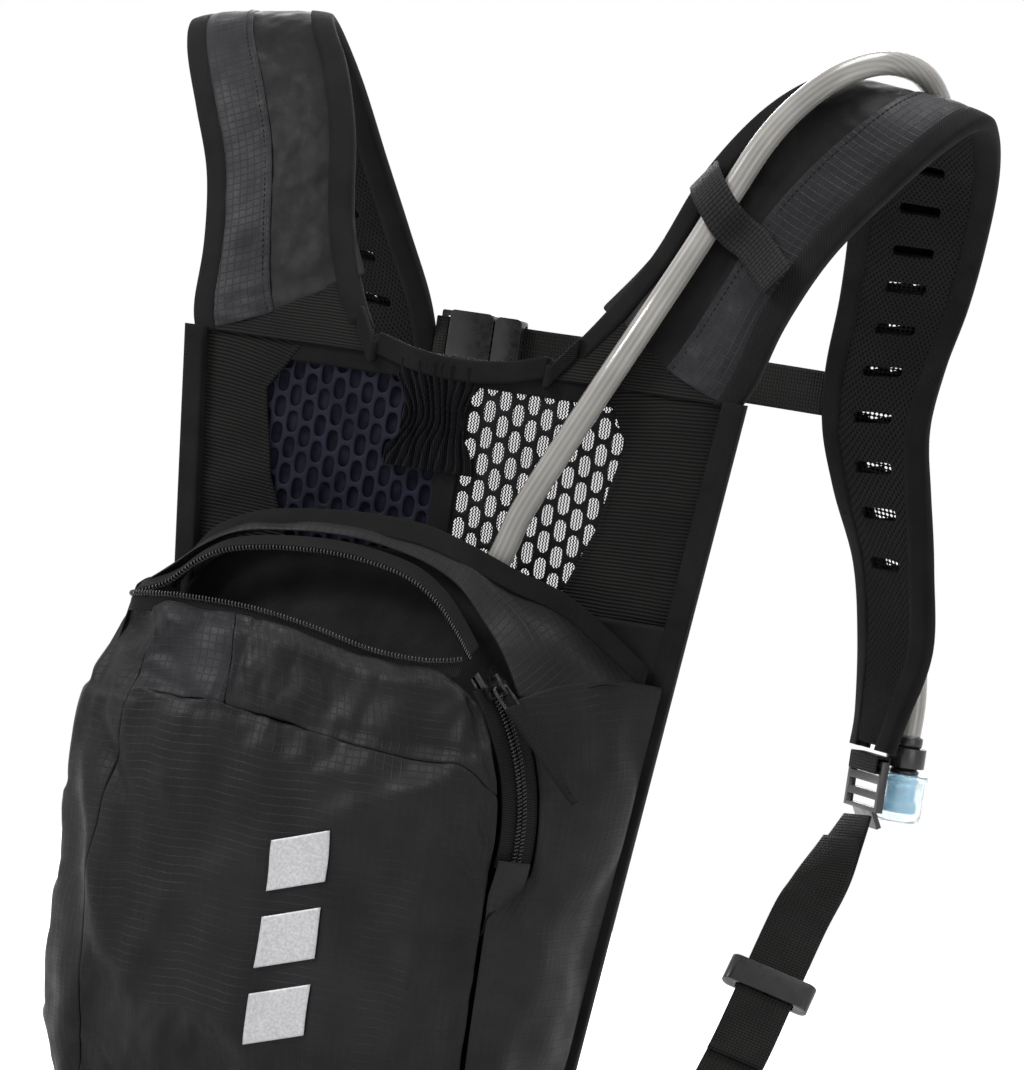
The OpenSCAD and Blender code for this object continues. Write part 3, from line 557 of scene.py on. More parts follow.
def air_mesh(name, dark, light, pitch=2.1, depth=0.5):
    """Spacer mesh: rows of small pits, each row half a step along from the last, with painted shade in the
    pits.
    """
    m = shader(name, rough=0.85, specular=0.04, sheen=0.01, sheen_rough=0.6)
    u, v, _ = places(m)
    a = waves(m, calc(m, "ADD", u, calc(m, "MULTIPLY", v, 0.58)), pitch)
    b = waves(m, calc(m, "SUBTRACT", u, calc(m, "MULTIPLY", v, 0.58)), pitch)
    pit = spread(m, calc(m, "ADD", a, b), 0.2, 1.3, 1.0, 0.0)
    # painted shade: the colour is darkest in the pits and lightest on the raised mesh, with random tone over
    # it
    tone = calc(m, "MULTIPLY", pit, spread(m, grain(m, 26), 0.25, 0.75, 0.6, 1.0))
    paint(m, tone, dark, light)
    bump(m, pit, depth)
    return m


def fine_knit(name, dark, light, open_share, pitch=1.25):
    """Thin knitted lining: wavy upright threads with gaps that let light through."""
    m = shader(name, rough=0.8, specular=0.04)
    u, v, _ = places(m)
    sway = calc(m, "MULTIPLY", waves(m, v, pitch * 1.1), 0.24 * pitch * MM)
    thread = waves(m, calc(m, "ADD", u, sway), pitch)
    rungs = waves(m, v, pitch * 0.55)
    solid = calc(m, "ADD", thread, calc(m, "MULTIPLY", rungs, 0.35))
    drive(m, "alpha", spread(m, solid, open_share - 0.25, open_share + 0.25))
    paint(m, spread(m, grain(m, 6), 0.3, 0.7), dark, light)
    return m


def dot_mesh(name, dark, light):
    """Mesh with rows of round holes that let light through."""
    m = shader(name, rough=0.85, specular=0.04)
    u, v, _ = places(m)
    holes = calc(m, "ADD", waves(m, u, 2.1), waves(m, v, 1.9))
    drive(m, "alpha", spread(m, holes, 0.25, 0.45, 1.0, 0.0))
    paint(m, spread(m, grain(m, 6), 0.3, 0.7), dark, light)
    return m


def plastic(name, dark, light, rough=0.3, coat=0.3):
    """Moulded plastic: faint flow marks and small scuffs."""
    m = shader(name, specular=0.35, coat=coat * 0.5, coat_rough=0.18)
    paint(m, spread(m, grain(m, 7, 4.0), 0.3, 0.75), dark, light)
    drive(m, "rough", spread(m, grain(m, 3, 4.0), 0.35, 0.7, rough - 0.06, rough + 0.12))
    bump(m, grain(m, 0.9), 0.02)
    return m


def hose_plastic():
    """Milky clear tube, cloudier in patches, with faint lengthwise drawing lines."""
    m = shader("hose_clear", rough=0.25, through=0.25, ior=1.42, inside=0.12, inside_scale=3 * MM,
               coat=0.35, coat_rough=0.12)
    u, _, _ = places(m)
    drawn = calc(m, "MULTIPLY_ADD", waves(m, u, 2.3), 0.18, grain(m, 30))
    paint(m, spread(m, drawn, 0.25, 0.8), (0.17, 0.165, 0.155), (0.29, 0.28, 0.26))
    bump(m, grain(m, 5), 0.05)
    return m


def clear(name, dark, light, through, rough, alpha=1.0):
    """Clear or tinted soft plastic with slight unevenness."""
    m = shader(name, through=through, ior=1.4, alpha=alpha)
    paint(m, spread(m, grain(m, 5), 0.3, 0.7), dark, light)
    drive(m, "rough", spread(m, grain(m, 4), 0.3, 0.7, rough, rough + 0.14))
    bump(m, grain(m, 2.5), 0.05)
    return m


def silver_print():
    """Reflective print: glass beads under a thin clear layer, worn at random."""
    m = shader("reflective_print", rough=0.5, metal=0.3, specular=0.3)
    paint(m, spread(m, grain(m, 1.1, 4.0), 0.3, 0.7), (0.27, 0.27, 0.28), (0.38, 0.38, 0.39))
    bump(m, grain(m, 0.5), 0.03)
    return m


def metal(name, dark, light, rough):
    """Painted or plated metal with fine scratches."""
    m = shader(name, metal=0.9)
    paint(m, spread(m, grain(m, 2, 4.0), 0.3, 0.7), dark, light)
    drive(m, "rough", spread(m, grain(m, 1.5, 4.0), 0.3, 0.7, rough, rough + 0.15))
    bump(m, grain(m, 0.6), 0.02)
    return m


SHELL = ripstop("shell_ripstop", (0.0032, 0.0031, 0.0034), (0.0105, 0.0102, 0.0115))
PLUM = ripstop("plum_ripstop", (0.0045, 0.0040, 0.0052), (0.0135, 0.0122, 0.0152))
SOFT = plain_cloth("soft_cloth", (0.0035, 0.0035, 0.0037), (0.0092, 0.0092, 0.0096))
LINING = plain_cloth("lining_cloth", (0.0025, 0.0025, 0.0027), (0.0065, 0.0065, 0.007), 0.6)
RIBBED = ribbed("ribbed_cloth", (0.002, 0.002, 0.002), (0.014, 0.014, 0.0132))
BINDING = binding_cloth()
WEBBING = woven_tape("webbing_weave")
ELASTIC = woven_tape("keeper_weave", 1.7, (0.003, 0.003, 0.003), (0.02, 0.02, 0.02), 0.5)
TAPE = ribbed("zip_tape_weave", (0.003, 0.003, 0.003), (0.013, 0.013, 0.0125), 0.9, 0.16)
LINER = air_mesh("strap_mesh", (0.0015, 0.0015, 0.0015), (0.0105, 0.0102, 0.01))
BACK = air_mesh("back_spacer_mesh", (0.002, 0.002, 0.002), (0.018, 0.018, 0.0185), 3.0, 0.8)
FOAM = plain_cloth("strap_foam_skin", (0.002, 0.002, 0.002), (0.006, 0.006, 0.006), 0.8)
NET = plain_cloth("black_net_thread", (0.003, 0.003, 0.0035), (0.009, 0.009, 0.0105), 0.6)
NAVY = plain_cloth("navy_net_thread", (0.004, 0.004, 0.008), (0.011, 0.011, 0.02), 0.6)
KNIT = fine_knit("knit_lining", (0.003, 0.003, 0.003), (0.012, 0.012, 0.013), -0.1)
DENSE = fine_knit("dense_knit_lining", (0.003, 0.003, 0.006), (0.009, 0.009, 0.017), -1.6)
DOTS = dot_mesh("slot_dot_mesh", (0.002, 0.002, 0.002), (0.008, 0.008, 0.008))
GATHER = ribbed("gathered_mesh_cloth", (0.002, 0.002, 0.0025), (0.012, 0.012, 0.0145), 1.1, 0.4, True)
THREAD = plain_cloth("black_thread", (0.003, 0.003, 0.003), (0.014, 0.014, 0.014), 0.5)
COIL = plastic("nylon_coil", (0.004, 0.004, 0.004), (0.014, 0.014, 0.014), 0.3, 0.2)
BLACK = plastic("black_plastic", (0.005, 0.005, 0.005), (0.012, 0.012, 0.012), 0.3)
SLIDER = metal("slider_enamel", (0.02, 0.02, 0.02), (0.05, 0.048, 0.047), 0.22)
WHITE = plastic("white_plastic", (0.5, 0.51, 0.51), (0.62, 0.62, 0.62), 0.4)
PORT = plastic("port_plastic", (0.02, 0.07, 0.16), (0.04, 0.11, 0.24), 0.35)
HOSE = hose_plastic()
BLUE = clear("blue_silicone", (0.16, 0.52, 0.72), (0.32, 0.68, 0.86), 0.35, 0.25)
CAP = clear("clear_cap", (0.82, 0.9, 0.93), (0.94, 0.98, 1.0), 0.9, 0.08)
FILM = clear("reservoir_film", (0.5, 0.66, 0.74), (0.66, 0.78, 0.84), 0.5, 0.2)
SILVER = silver_print()

# ---- camera ----
AIM_FROM_YOKE = Vector((0.0285, 0.0052, -0.0604))  # aim point, from the top of the yoke's middle
CAMERA_AZIMUTH = 20
CAMERA_ELEVATION = 2
CAMERA_ROLL = 8.4
CAMERA_DISTANCE = 1.9
CAMERA_LENS = 161


def yoke_top():
    """Point on the wearer's plane at the middle of the yoke's top edge."""
    return Vector((0, 0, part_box("yoke_spine")[1].z))


def make_camera():
    """A long lens that looks at the pack from the front right, turned a little about its own axis."""
    a, e = math.radians(CAMERA_AZIMUTH), math.radians(CAMERA_ELEVATION)
    away = Vector((math.sin(a) * math.cos(e), -math.cos(a) * math.cos(e), math.sin(e)))
    camera = bpy.data.objects.new("camera", bpy.data.cameras.new("camera"))
    camera.data.lens = CAMERA_LENS
    camera.location = yoke_top() + AIM_FROM_YOKE + away * CAMERA_DISTANCE
    camera.rotation_mode = "QUATERNION"
    upright = (-away).to_track_quat("-Z", "Y")
    camera.rotation_quaternion = upright @ Quaternion((0, 0, 1), math.radians(CAMERA_ROLL))
    bpy.context.scene.collection.objects.link(camera)
    bpy.context.scene.camera = camera


# ---- drinking hose ----
HOSE_ROUTE = np.array([
    [0.020, -0.028, -0.096], [0.020, -0.027, -0.060], [0.021, -0.027, -0.020], [0.022, -0.027, 0.020],
    [0.0225, -0.027, 0.044], [0.023, -0.0255, 0.060], [0.024, -0.0225, 0.073], [0.026, -0.0175, 0.088],
    [0.028, -0.0136, 0.104], [0.033, -0.012, 0.122], [0.038, -0.012, 0.137], [0.049, -0.011, 0.161],
    [0.063, -0.010, 0.190], [0.074, -0.004, 0.216], [0.083, 0.009, 0.243], [0.092, 0.023, 0.272],
    [0.100, 0.033, 0.295], [0.109, 0.043, 0.312], [0.120, 0.056, 0.326], [0.132, 0.073, 0.334],
    [0.142, 0.093, 0.333], [0.146, 0.113, 0.323], [0.146, 0.134, 0.305], [0.143, 0.156, 0.281],
    [0.138, 0.178, 0.254], [0.131, 0.196, 0.224], [0.127, 0.208, 0.195], [0.128, 0.214, 0.166],
    [0.133, 0.220, 0.134], [0.139, 0.225, 0.102], [0.142, 0.228, 0.076], [0.142, 0.228, 0.058],
])
HOSE_RADIUS = 0.005
VALVE = (0.142, 0.228, 0.0)


def make_hose():
    """The drinking hose on its route, and the mouth end that closes it."""
    route = curve(HOSE_ROUTE, 5)
    rings = carry(route, any_side(route), HOSE_RADIUS, HOSE_RADIUS, round_section(20))
    hose = piece("hose_tube", ring_mesh("hose_tube", rings), HOSE, ["hose"])
    collar = turned("valve_collar", [
        [5.05, 42.2], [6.2, 42.2], [6.5, 42.6], [6.5, 43.6], [5.6, 44.2], [5.5, 53.6], [6.1, 54.2],
        [6.3, 55.2], [6.3, 57.6], [6.0, 58.2], [5.02, 58.4], [2.5, 58], [2.5, 42.4]], VALVE)
    body = piece("valve_collar", collar, BLACK, ["valve_body"])
    lever = moulded("valve_lever", BLACK, 0.7, 3)
    a = np.linspace(0, 2 * np.pi, 40, endpoint=False)
    z = np.array([41.9, 41.5, 40.4, 39.6, 37, 33, 30.5, 29.6, 28, 25.6, 25.0, 25.0, 25.0])
    wide = np.array([6.4, 7.0, 7.0, 6.6, 6.3, 6.3, 6.4, 7.3, 7.75, 7.6, 6.8, 3.5, 0.3])
    deep = np.array([6.4, 7.0, 7.0, 6.6, 5.4, 4.7, 4.6, 5.0, 5.5, 5.3, 4.6, 1.2, 0.1])
    rings = np.stack([
        wide[:, None] * np.sign(np.cos(a)) * np.abs(np.cos(a)) ** 0.85,
        deep[:, None] * np.sign(np.sin(a)) * np.abs(np.sin(a)) ** 0.85,
        z[:, None] + 0 * a,
    ], -1) * MM + np.array(VALVE)
    mouth = piece("bite_mouthpiece", ring_mesh("bite_mouthpiece", rings), BLUE, ["mouthpiece"])
    cup = turned("clear_dust_cap", [
        [0, 21.0], [6, 21.0], [8.2, 21.3], [9.4, 22.2], [9.95, 24], [10, 36], [10, 39.6], [10.8, 40.1],
        [10.8, 41.6], [10.2, 42], [9.4, 41.8], [9.1, 40], [9.0, 25], [8.2, 23.2], [6.8, 22.5], [0, 22.3],
    ], VALVE)
    cap = piece("clear_dust_cap", cup, CAP, ["dust_cap"], "cap")


KEEPER = np.array([[78, 29, 278], [82, 20, 275], [88, 13.5, 269], [94, 13, 262], [99, 17, 257],
                   [105.4, 17.4, 253.4], [112, 14.2, 247.5], [120, 9.5, 240.5]]) * MM
KEEPER_SIDE = np.array([0.5, 0.35, 0.8])


def make_keeper():
    """Elastic tape across the strap that holds the hose down."""
    path = evenly(curve(KEEPER, 8), 60)
    rings = carry(path, KEEPER_SIDE + 0 * path, 8 * MM, 0.8 * MM, flat_section(12))
    piece("keeper_tape", ring_mesh("keeper_tape", rings), ELASTIC, ["hose_keeper"])


# ---- shoulder straps ----
# Centre line, direction and size of the width, and share of the full thickness
STRAP_ROWS = np.array([
    [75, -3, 188, 82, 0, 0, 82, 0.4], [86, 5, 207, 68, -4, -14, 71, 0.7],
    [95, 17, 233, 59, -7, -19, 63, 1], [105, 31, 264, 59, -6, -24, 64, 1],
    [119, 45, 290, 62, -6, -25, 66, 1], [134, 61, 311, 65, -2, -16, 66, 1],
    [143, 80, 320, 63, 0, -9, 64, 1], [144, 102, 315, 60, 4, -6, 61, 1],
    [141, 125, 298, 60, 6, -4, 60, 1], [135, 148, 272, 58, 4, 0, 58, 1],
    [127, 171, 243, 55, 2, 2, 55, 1], [118, 189, 214, 52, -2, 4, 52, 1],
    [115, 199, 188, 48, -8, 4, 49, 1], [120, 205, 162, 45, -13, 2, 47, 1],
    [128, 212, 131, 39, -23, 0, 46, 1], [133, 216, 97, 37, -25, 0, 45, 1],
    [131, 218, 66, 28, -30, 0, 41, 0.9], [129, 218, 50, 26, -28, 0, 35, 0.7],
])
STRAP_THICK = 8.0
BINDING_WIDTH = 9.0
SLOT_HALF = 8.5
SLOT_TALL = 5.0
SLOT_FIRST, SLOT_STEP = 71.0, 22.0


def strap_frame():
    """Rows of the strap in millimetres: centre, unit width, unit depth towards the wearer, size, share."""
    rows = curve(STRAP_ROWS, 8)
    side = unit(rows[:, 3:6])
    depth = unit(np.cross(tangents(rows[:, :3]), side))
    return np.hstack([rows[:, :3], side, depth, rows[:, 6:8]])


STRAP = strap_frame()
STRAP_LENGTH = lengths(STRAP)[-1]


def on_strap(along, across, depth):
    """Points of the strap: along it, and off its centre line across it and towards the wearer, in mm."""
    along, across, depth = np.broadcast_arrays(along, across, depth)
    rows = sample(STRAP, along.ravel()).reshape(*along.shape, -1)
    return (rows[..., :3] + rows[..., 3:6] * across[..., None] + rows[..., 6:9] * depth[..., None]) * MM


def strap_half(along):
    """Half the strap's width at a distance along it."""
    return np.interp(along, lengths(STRAP), STRAP[:, 9]) / 2


def crown(along, across):
    """Half thickness of the padding: full in the middle, pinched to two fifths at the bound edges."""
    full = np.interp(along, lengths(STRAP), STRAP[:, 10]) * STRAP_THICK / 2
    inset = np.maximum(strap_half(along) - np.abs(across), 0)
    return full * (0.4 + 0.6 * (1 - np.exp(-inset / 7)))


def creases(along, across, seed, height):
    """Cross wrinkles of a strap's cloth: waves much longer across than along."""
    flat = np.stack([along / 17, across / 48], -1)
    sharp = ripples(flat, 1.0, seed)
    return height * (0.6 * sharp + 0.4 * np.abs(ripples(flat * 2.1, 1.0, seed + 5)))


def both_sides(name, grid, keep, material, stands_for, thickness, levels=1):
    """The right-hand piece from a grid, and its mirror image on the left."""
    made = []
    for hand, flip in (("right", False), ("left", True)):
        shape = (grid * MIRROR)[:, ::-1] if flip else grid
        mask = keep[:, ::-1] if flip and keep is not None else keep
        mesh = grid_mesh(f"{name}_{hand}", shape, mask)
        nodes = [f"{n}_{hand}" for n in stands_for]
        made.append(thicken(piece(f"{name}_{hand}", mesh, material, nodes), thickness, levels))
    return made


def binding_rings(along, sign):
    """Sections of the folded tape round a strap's edge: over it, round it and back inside."""
    s = np.linspace(-1, 1, 15)
    half = strap_half(along)[:, None]
    inset = (BINDING_WIDTH + 0.5) * s**2 - 0.5
    across = half - inset
    lift = crown(along[:, None], across) + 1.2
    through = np.sign(s) * lift * np.sin(np.pi / 2 * np.minimum(np.abs(s) / 0.34, 1))
    outer = on_strap(along[:, None], sign * across, through)
    inner = on_strap(along[:, None], sign * (across - 0.5), through * 0.55)
    return np.concatenate([outer, inner[:, ::-1]], 1)


FAR_SLOTS = 283


def slotted(lengthwise, across):
    """Faces of a strap layer that stay where the row of slots is cut."""
    mid = (lengthwise[:-1, :-1] + lengthwise[1:, 1:]) / 2
    middle = (across[:-1, :-1] + across[1:, 1:]) / 2
    beat = (mid - SLOT_FIRST + SLOT_TALL / 2) % SLOT_STEP
    inside = (beat < SLOT_TALL) & (mid > SLOT_FIRST - 4) & (mid < 440)
    return ~(inside & (np.abs(middle) < SLOT_HALF))


def strap_cover(low, high, columns, lift, seed, crease):
    """Outer cloth of the strap from its slanted seam up to its end, between two places across it."""
    rows = 190
    v = np.linspace(0, 1, rows)
    half = strap_half(v * STRAP_LENGTH) - 3.2
    place = lambda value: value * half if abs(value) == 1 else value + 0 * half
    across = mix(place(low)[:, None], place(high)[:, None], np.linspace(0, 1, columns)[None])
    start = 14 * (1 - across / half[:, None])
    along = mix(start, STRAP_LENGTH - 4.0, v[:, None])
    inset = np.clip((strap_half(along) - np.abs(across) - 6) / 8, 0, 1)
    wrinkle = inset * np.abs(creases(along, across, seed, crease))
    depth = -(crown(along, across) + mix(-0.3, lift, inset)) - wrinkle
    keep = slotted(along, across) | (along[1:, 1:] < FAR_SLOTS)
    return on_strap(along, across, depth)[:, ::-1], keep[:, ::-1]


def make_straps():
    """Padded straps: foam with a row of slots, cloth in two widths outside, mesh inside, bound edges."""
    first = SLOT_FIRST - 3 * SLOT_STEP - SLOT_TALL / 2
    along = np.arange(first, STRAP_LENGTH - 3, 2.5)
    half = strap_half(along) - 1.2
    fixed = np.array([-8.5, -5.7, -2.8, 0, 2.8, 5.7, 8.5])
    outside = 8.5 + (half[:, None] - 8.5) * np.linspace(0, 1, 7)[1:]
    across = np.hstack([-outside[:, ::-1], fixed + 0 * half[:, None], outside])
    lengthwise = along[:, None] + 0 * across
    keep = slotted(lengthwise, across)
    wrinkle = creases(lengthwise, across, 4, 0.25)
    lining = on_strap(lengthwise, across, crown(lengthwise, across) + wrinkle)
    both_sides("strap_lining", lining, keep, LINER, ["strap_liner"], 0.9)
    core = on_strap(lengthwise, across, 0.55 * crown(lengthwise, across))
    for pad in both_sides("strap_padding", core, keep, FOAM, ["strap_foam"], 2.0):
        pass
    soft, cut = strap_cover(-1, 3.5, 26, -0.3, 7, 0.9)
    both_sides("strap_soft_panel", soft, cut, SOFT, ["strap_cover"], 0.7)
    strip, cut = strap_cover(2.0, 1, 24, 0.5, 9, 0.55)
    both_sides("strap_strip", strip, cut, PLUM, [], 0.8)
    place, over = np.meshgrid(np.arange(FAR_SLOTS, 446, 3.0), np.linspace(-11, 11, 12), indexing="ij")
    veil = on_strap(place, over, crown(place, over) - 1.4)
    both_sides("strap_slot_mesh", veil, None, DOTS, [], 0.2, 0)
    v = np.linspace(0, 1, 14)[:, None]
    wide = mix(-1, 1, np.linspace(0, 1, 34))[None] * (strap_half(np.zeros(1)) - 2.0)
    seam = 14.5 * (1 - wide / strap_half(np.zeros(1))) + 1.0
    low = on_strap(v * seam, wide * (1 - 0.12 * v), -(crown(v * seam, wide) + 0.2))
    both_sides("strap_root", low[:, ::-1], None, RIBBED, [], 0.8)
    along = np.linspace(0, STRAP_LENGTH - 1, 210)
    edge = ring_mesh("outer", binding_rings(along, 1))
    side = np.stack([BACK_HALF + BACK_TAPER * SIDE_Z - 2.6, -3.9 + 0 * SIDE_Z, SIDE_Z], 1) * MM
    rim = carry(side, [1, 0.12, 0] + 0 * side, 4.7 * MM, 3.4 * MM, flat_section(12, 0.1))
    right = many("outer_binding_right_tape", [edge, ring_mesh("rim", rim)])
    neck = on_strap(np.linspace(0, 12, 5), -strap_half(np.linspace(0, 12, 5)) + 3.5, -3.0)[::-1]
    notch = np.array([[36, -3.6, 193], [22, -4.4, 189.5], [8, -4.6, 187.6], [0, -4.6, 187.4]]) * MM
    arc = np.vstack([neck, notch])
    bridge = evenly(curve(np.vstack([arc, (arc * MIRROR)[-2::-1]]), 6), 90)
    tape = carry(bridge, [0, 0.1, 1] + 0 * bridge, 4.6 * MM, 1.7 * MM, flat_section(12))
    inner = binding_rings(along[4:], -1)
    parts = [ring_mesh("a", inner), ring_mesh("b", inner * MIRROR), ring_mesh("c", tape)]
    piece("inner_binding_tape", many("inner_binding_tape", parts), BINDING, ["inner_binding"])
    left = right.copy()
    flip = np.empty(len(left.vertices) * 3, np.float32)
    left.vertices.foreach_get("co", flip)
    left.vertices.foreach_set("co", (flip.reshape(-1, 3) * MIRROR).ravel())
    left.flip_normals()
    piece("outer_binding_right_tape", right, BINDING, ["outer_binding_right"])
    piece("outer_binding_left_tape", left, BINDING, ["outer_binding_left"])
    make_strap_stitches()


def make_strap_stitches():
    """Stitch lines along the inner edges of the bindings and beside the strip's fold."""
    rows = np.arange(8, STRAP_LENGTH - 6, 3.0)
    sets = []
    inset = strap_half(rows) - 7.6
    for across, lift in ((inset, 0.95), (-inset, 0.95), (5.0 + 0 * rows, 1.6)):
        path = on_strap(rows, across, -(crown(rows, across) + lift))
        out = -sample(STRAP, rows)[:, 6:9]
        for sign in (1, -1):
            turn = np.array([sign, 1, 1])
            sets.append(stitches("row", path * turn, out * turn))
    piece("strap_stitches", many("strap_stitches", sets), THREAD, [])


# ---- pack: pocket, sides and back ----
BACK_HALF = 97
BACK_TAPER = 0.11
SIDE_Z = np.linspace(-150, 190, 60)
POCKET_DEPTH = 66
SEAM_Z = 43
SPLIT_X = -47
FRONT_LEFT, FRONT_RIGHT = -92, 66
FOOT = -151
SHELL_Y = -8.6
BULGE = np.array([[-156, 8], [-130, 26], [-90, 38], [-40, 37], [0, 33], [50, 22], [68, 12], [82, 5]])
ZIP_CENTRE = np.array([-19, -56, 12])
ZIP_RADIUS = 90
ZIP_TILT = math.radians(61)
MOUTH = np.array([
    [-110, -42, 79], [-104, -49, 80], [-83, -54, 82], [-53, -56, 82], [-27, -57, 79],
    [-1, -57, 74], [18, -58, 73], [30, -58, 74], [39, -58, 76],
])
ARCH = np.array([
    [-110, -38, 82], [-98, -36, 88], [-87, -35, 98], [-74, -35, 105], [-52, -35, 109], [-25, -35, 110],
    [1, -35, 106], [17, -37, 98], [29, -42, 88], [39, -49, 79],
])
STRIP_LOW = np.array([
    [-112, -33, 84], [-101, -30, 93], [-90, -28, 103], [-75, -28, 111], [-52, -28, 115], [-25, -28, 116],
    [2, -28, 112], [22, -30, 104], [38, -36, 91], [50, -43, 80], [60, -48, 66],
])
FLAP = np.array([
    [-105, -10, 85], [-98, -12, 95], [-88, -15, 105], [-70, -19, 113], [-48, -21, 117], [-22, -22, 119],
    [2, -22, 118], [22, -22, 113], [42, -21, 106], [66, -17, 98], [98, -10, 76],
])


def half_at(z):
    """Half width of the back at a height."""
    return BACK_HALF + BACK_TAPER * z


def front_y(z):
    """Front of the pocket: upright, leaning back above the seam and tucked in at the bottom."""
    return -POCKET_DEPTH + np.maximum(0, z - SEAM_Z) * 0.32 + 24 * (np.maximum(0, -60 - z) / 95) ** 2.5


def on_circle(z, radius):
    """How far to the right the zip's curve of this radius is at a height."""
    return ZIP_CENTRE[0] + np.sqrt(np.maximum(radius**2 - (z - ZIP_CENTRE[2]) ** 2, 1))


def right_end(z):
    """Right edge of the front: straight, then along the zip's inner side."""
    return np.minimum(on_circle(np.maximum(z, 2), ZIP_RADIUS - 4.3) - 1.0, FRONT_RIGHT)


def pocket_grid(rows=104, front=96, side=52):
    """The pocket's cloth from the back edge round the left side and across the front, in mm."""
    v = np.linspace(0, 1, rows)[:, None]
    share = np.linspace(0, 1, front)[None]
    top_x = mix(FRONT_LEFT, 44, share)
    top = np.interp(top_x, MOUTH[:, 0], MOUTH[:, 2]) - 1.0
    top = mix(top, 62, ramp(0.9, 1.0, share))
    z = mix(FOOT, top, v)
    x = mix(FRONT_LEFT, right_end(z), share)
    crown_out = 3 * np.sin(np.pi * share) + 1.5 * np.sin(np.pi * share) * np.sin(np.pi * v)
    face = np.stack([x, front_y(z) - crown_out, z], -1)
    t = np.linspace(0, 2, side)[None]
    z = mix(FOOT, 79 - 1.0, v) + 0 * t
    ends = np.stack([
        np.stack([FRONT_LEFT + 0 * z, front_y(z), z], -1),
        np.stack([-half_at(z) - np.interp(z, BULGE[:, 0], BULGE[:, 1]),
                  (front_y(z) + 8) / 2 - 8, z - 1], -1),
        np.stack([0.5 - half_at(z), SHELL_Y + 0 * z, z], -1),
    ])
    p = np.concatenate([ends[:1], ends, ends[-1:]])
    k = np.minimum(t.astype(int), 1)[..., None] + 0 * z[..., None].astype(int)
    f = (t - np.minimum(t.astype(int), 1))[..., None]
    q = [np.take_along_axis(p, (k + n)[None], 0)[0] for n in range(4)]
    flank = 0.5 * (2 * q[1] + (q[2] - q[0]) * f + (2 * q[0] - 5 * q[1] + 4 * q[2] - q[3]) * f**2
                   + (3 * q[1] - q[0] - 3 * q[2] + q[3]) * f**3)
    grid = np.hstack([flank[:, :0:-1], face])
    for _ in range(14):
        grid[:, 1:-1] = (grid[:, :-2] + 2 * grid[:, 1:-1] + grid[:, 2:]) / 4
    return grid


def settle(name, grid, pinned, pressure, shrink, most):
    """Lets a cloth grid swell between its pinned seams for twenty frames, moving at most so far."""
    trial = bpy.data.objects.new(name, grid_mesh(name, grid))
    bpy.context.scene.collection.objects.link(trial)
    held = trial.vertex_groups.new(name="held")
    held.add(np.flatnonzero(pinned.ravel()).tolist(), 1.0, "REPLACE")
    cloth = trial.modifiers.new("cloth", "CLOTH")
    rules = cloth.settings
    rules.quality = 6
    rules.mass = 0.15
    rules.tension_stiffness = rules.compression_stiffness = 12
    rules.shear_stiffness = 4
    rules.bending_stiffness = 0.12
    rules.vertex_group_mass = "held"
    rules.use_pressure = True
    rules.uniform_pressure_force = pressure
    rules.shrink_min = shrink
    rules.effector_weights.gravity = 0
    cloth.collision_settings.use_collision = False
    cloth.point_cache.frame_start, cloth.point_cache.frame_end = 1, 20
    for moment in range(1, 21):
        bpy.context.scene.frame_set(moment)
    settled = trial.evaluated_get(bpy.context.evaluated_depsgraph_get()).data
    flat = np.empty(len(settled.vertices) * 3, np.float32)
    settled.vertices.foreach_get("co", flat)
    bpy.context.scene.frame_set(1)
    bpy.data.objects.remove(trial)
    move = flat.reshape(grid.shape) - grid
    far = np.linalg.norm(move, axis=-1, keepdims=True)
    return grid + move * np.minimum(1, most * MM / np.maximum(far, 1e-9))


def seam_press(distance, along, deep=1.3):
    """A pressed-in seam with small puckers beside it, by the distance from it, both in metres."""
    near = np.exp(-(distance / (1.4 * MM)) ** 2)
    pucker = np.sin(along / MM * 0.62 + 2.2 * np.sin(along / MM * 0.11))
    beside = np.exp(-np.abs(distance) / (7 * MM)) * (1 - near)
    return -deep * MM * near + 0.5 * MM * pucker * beside


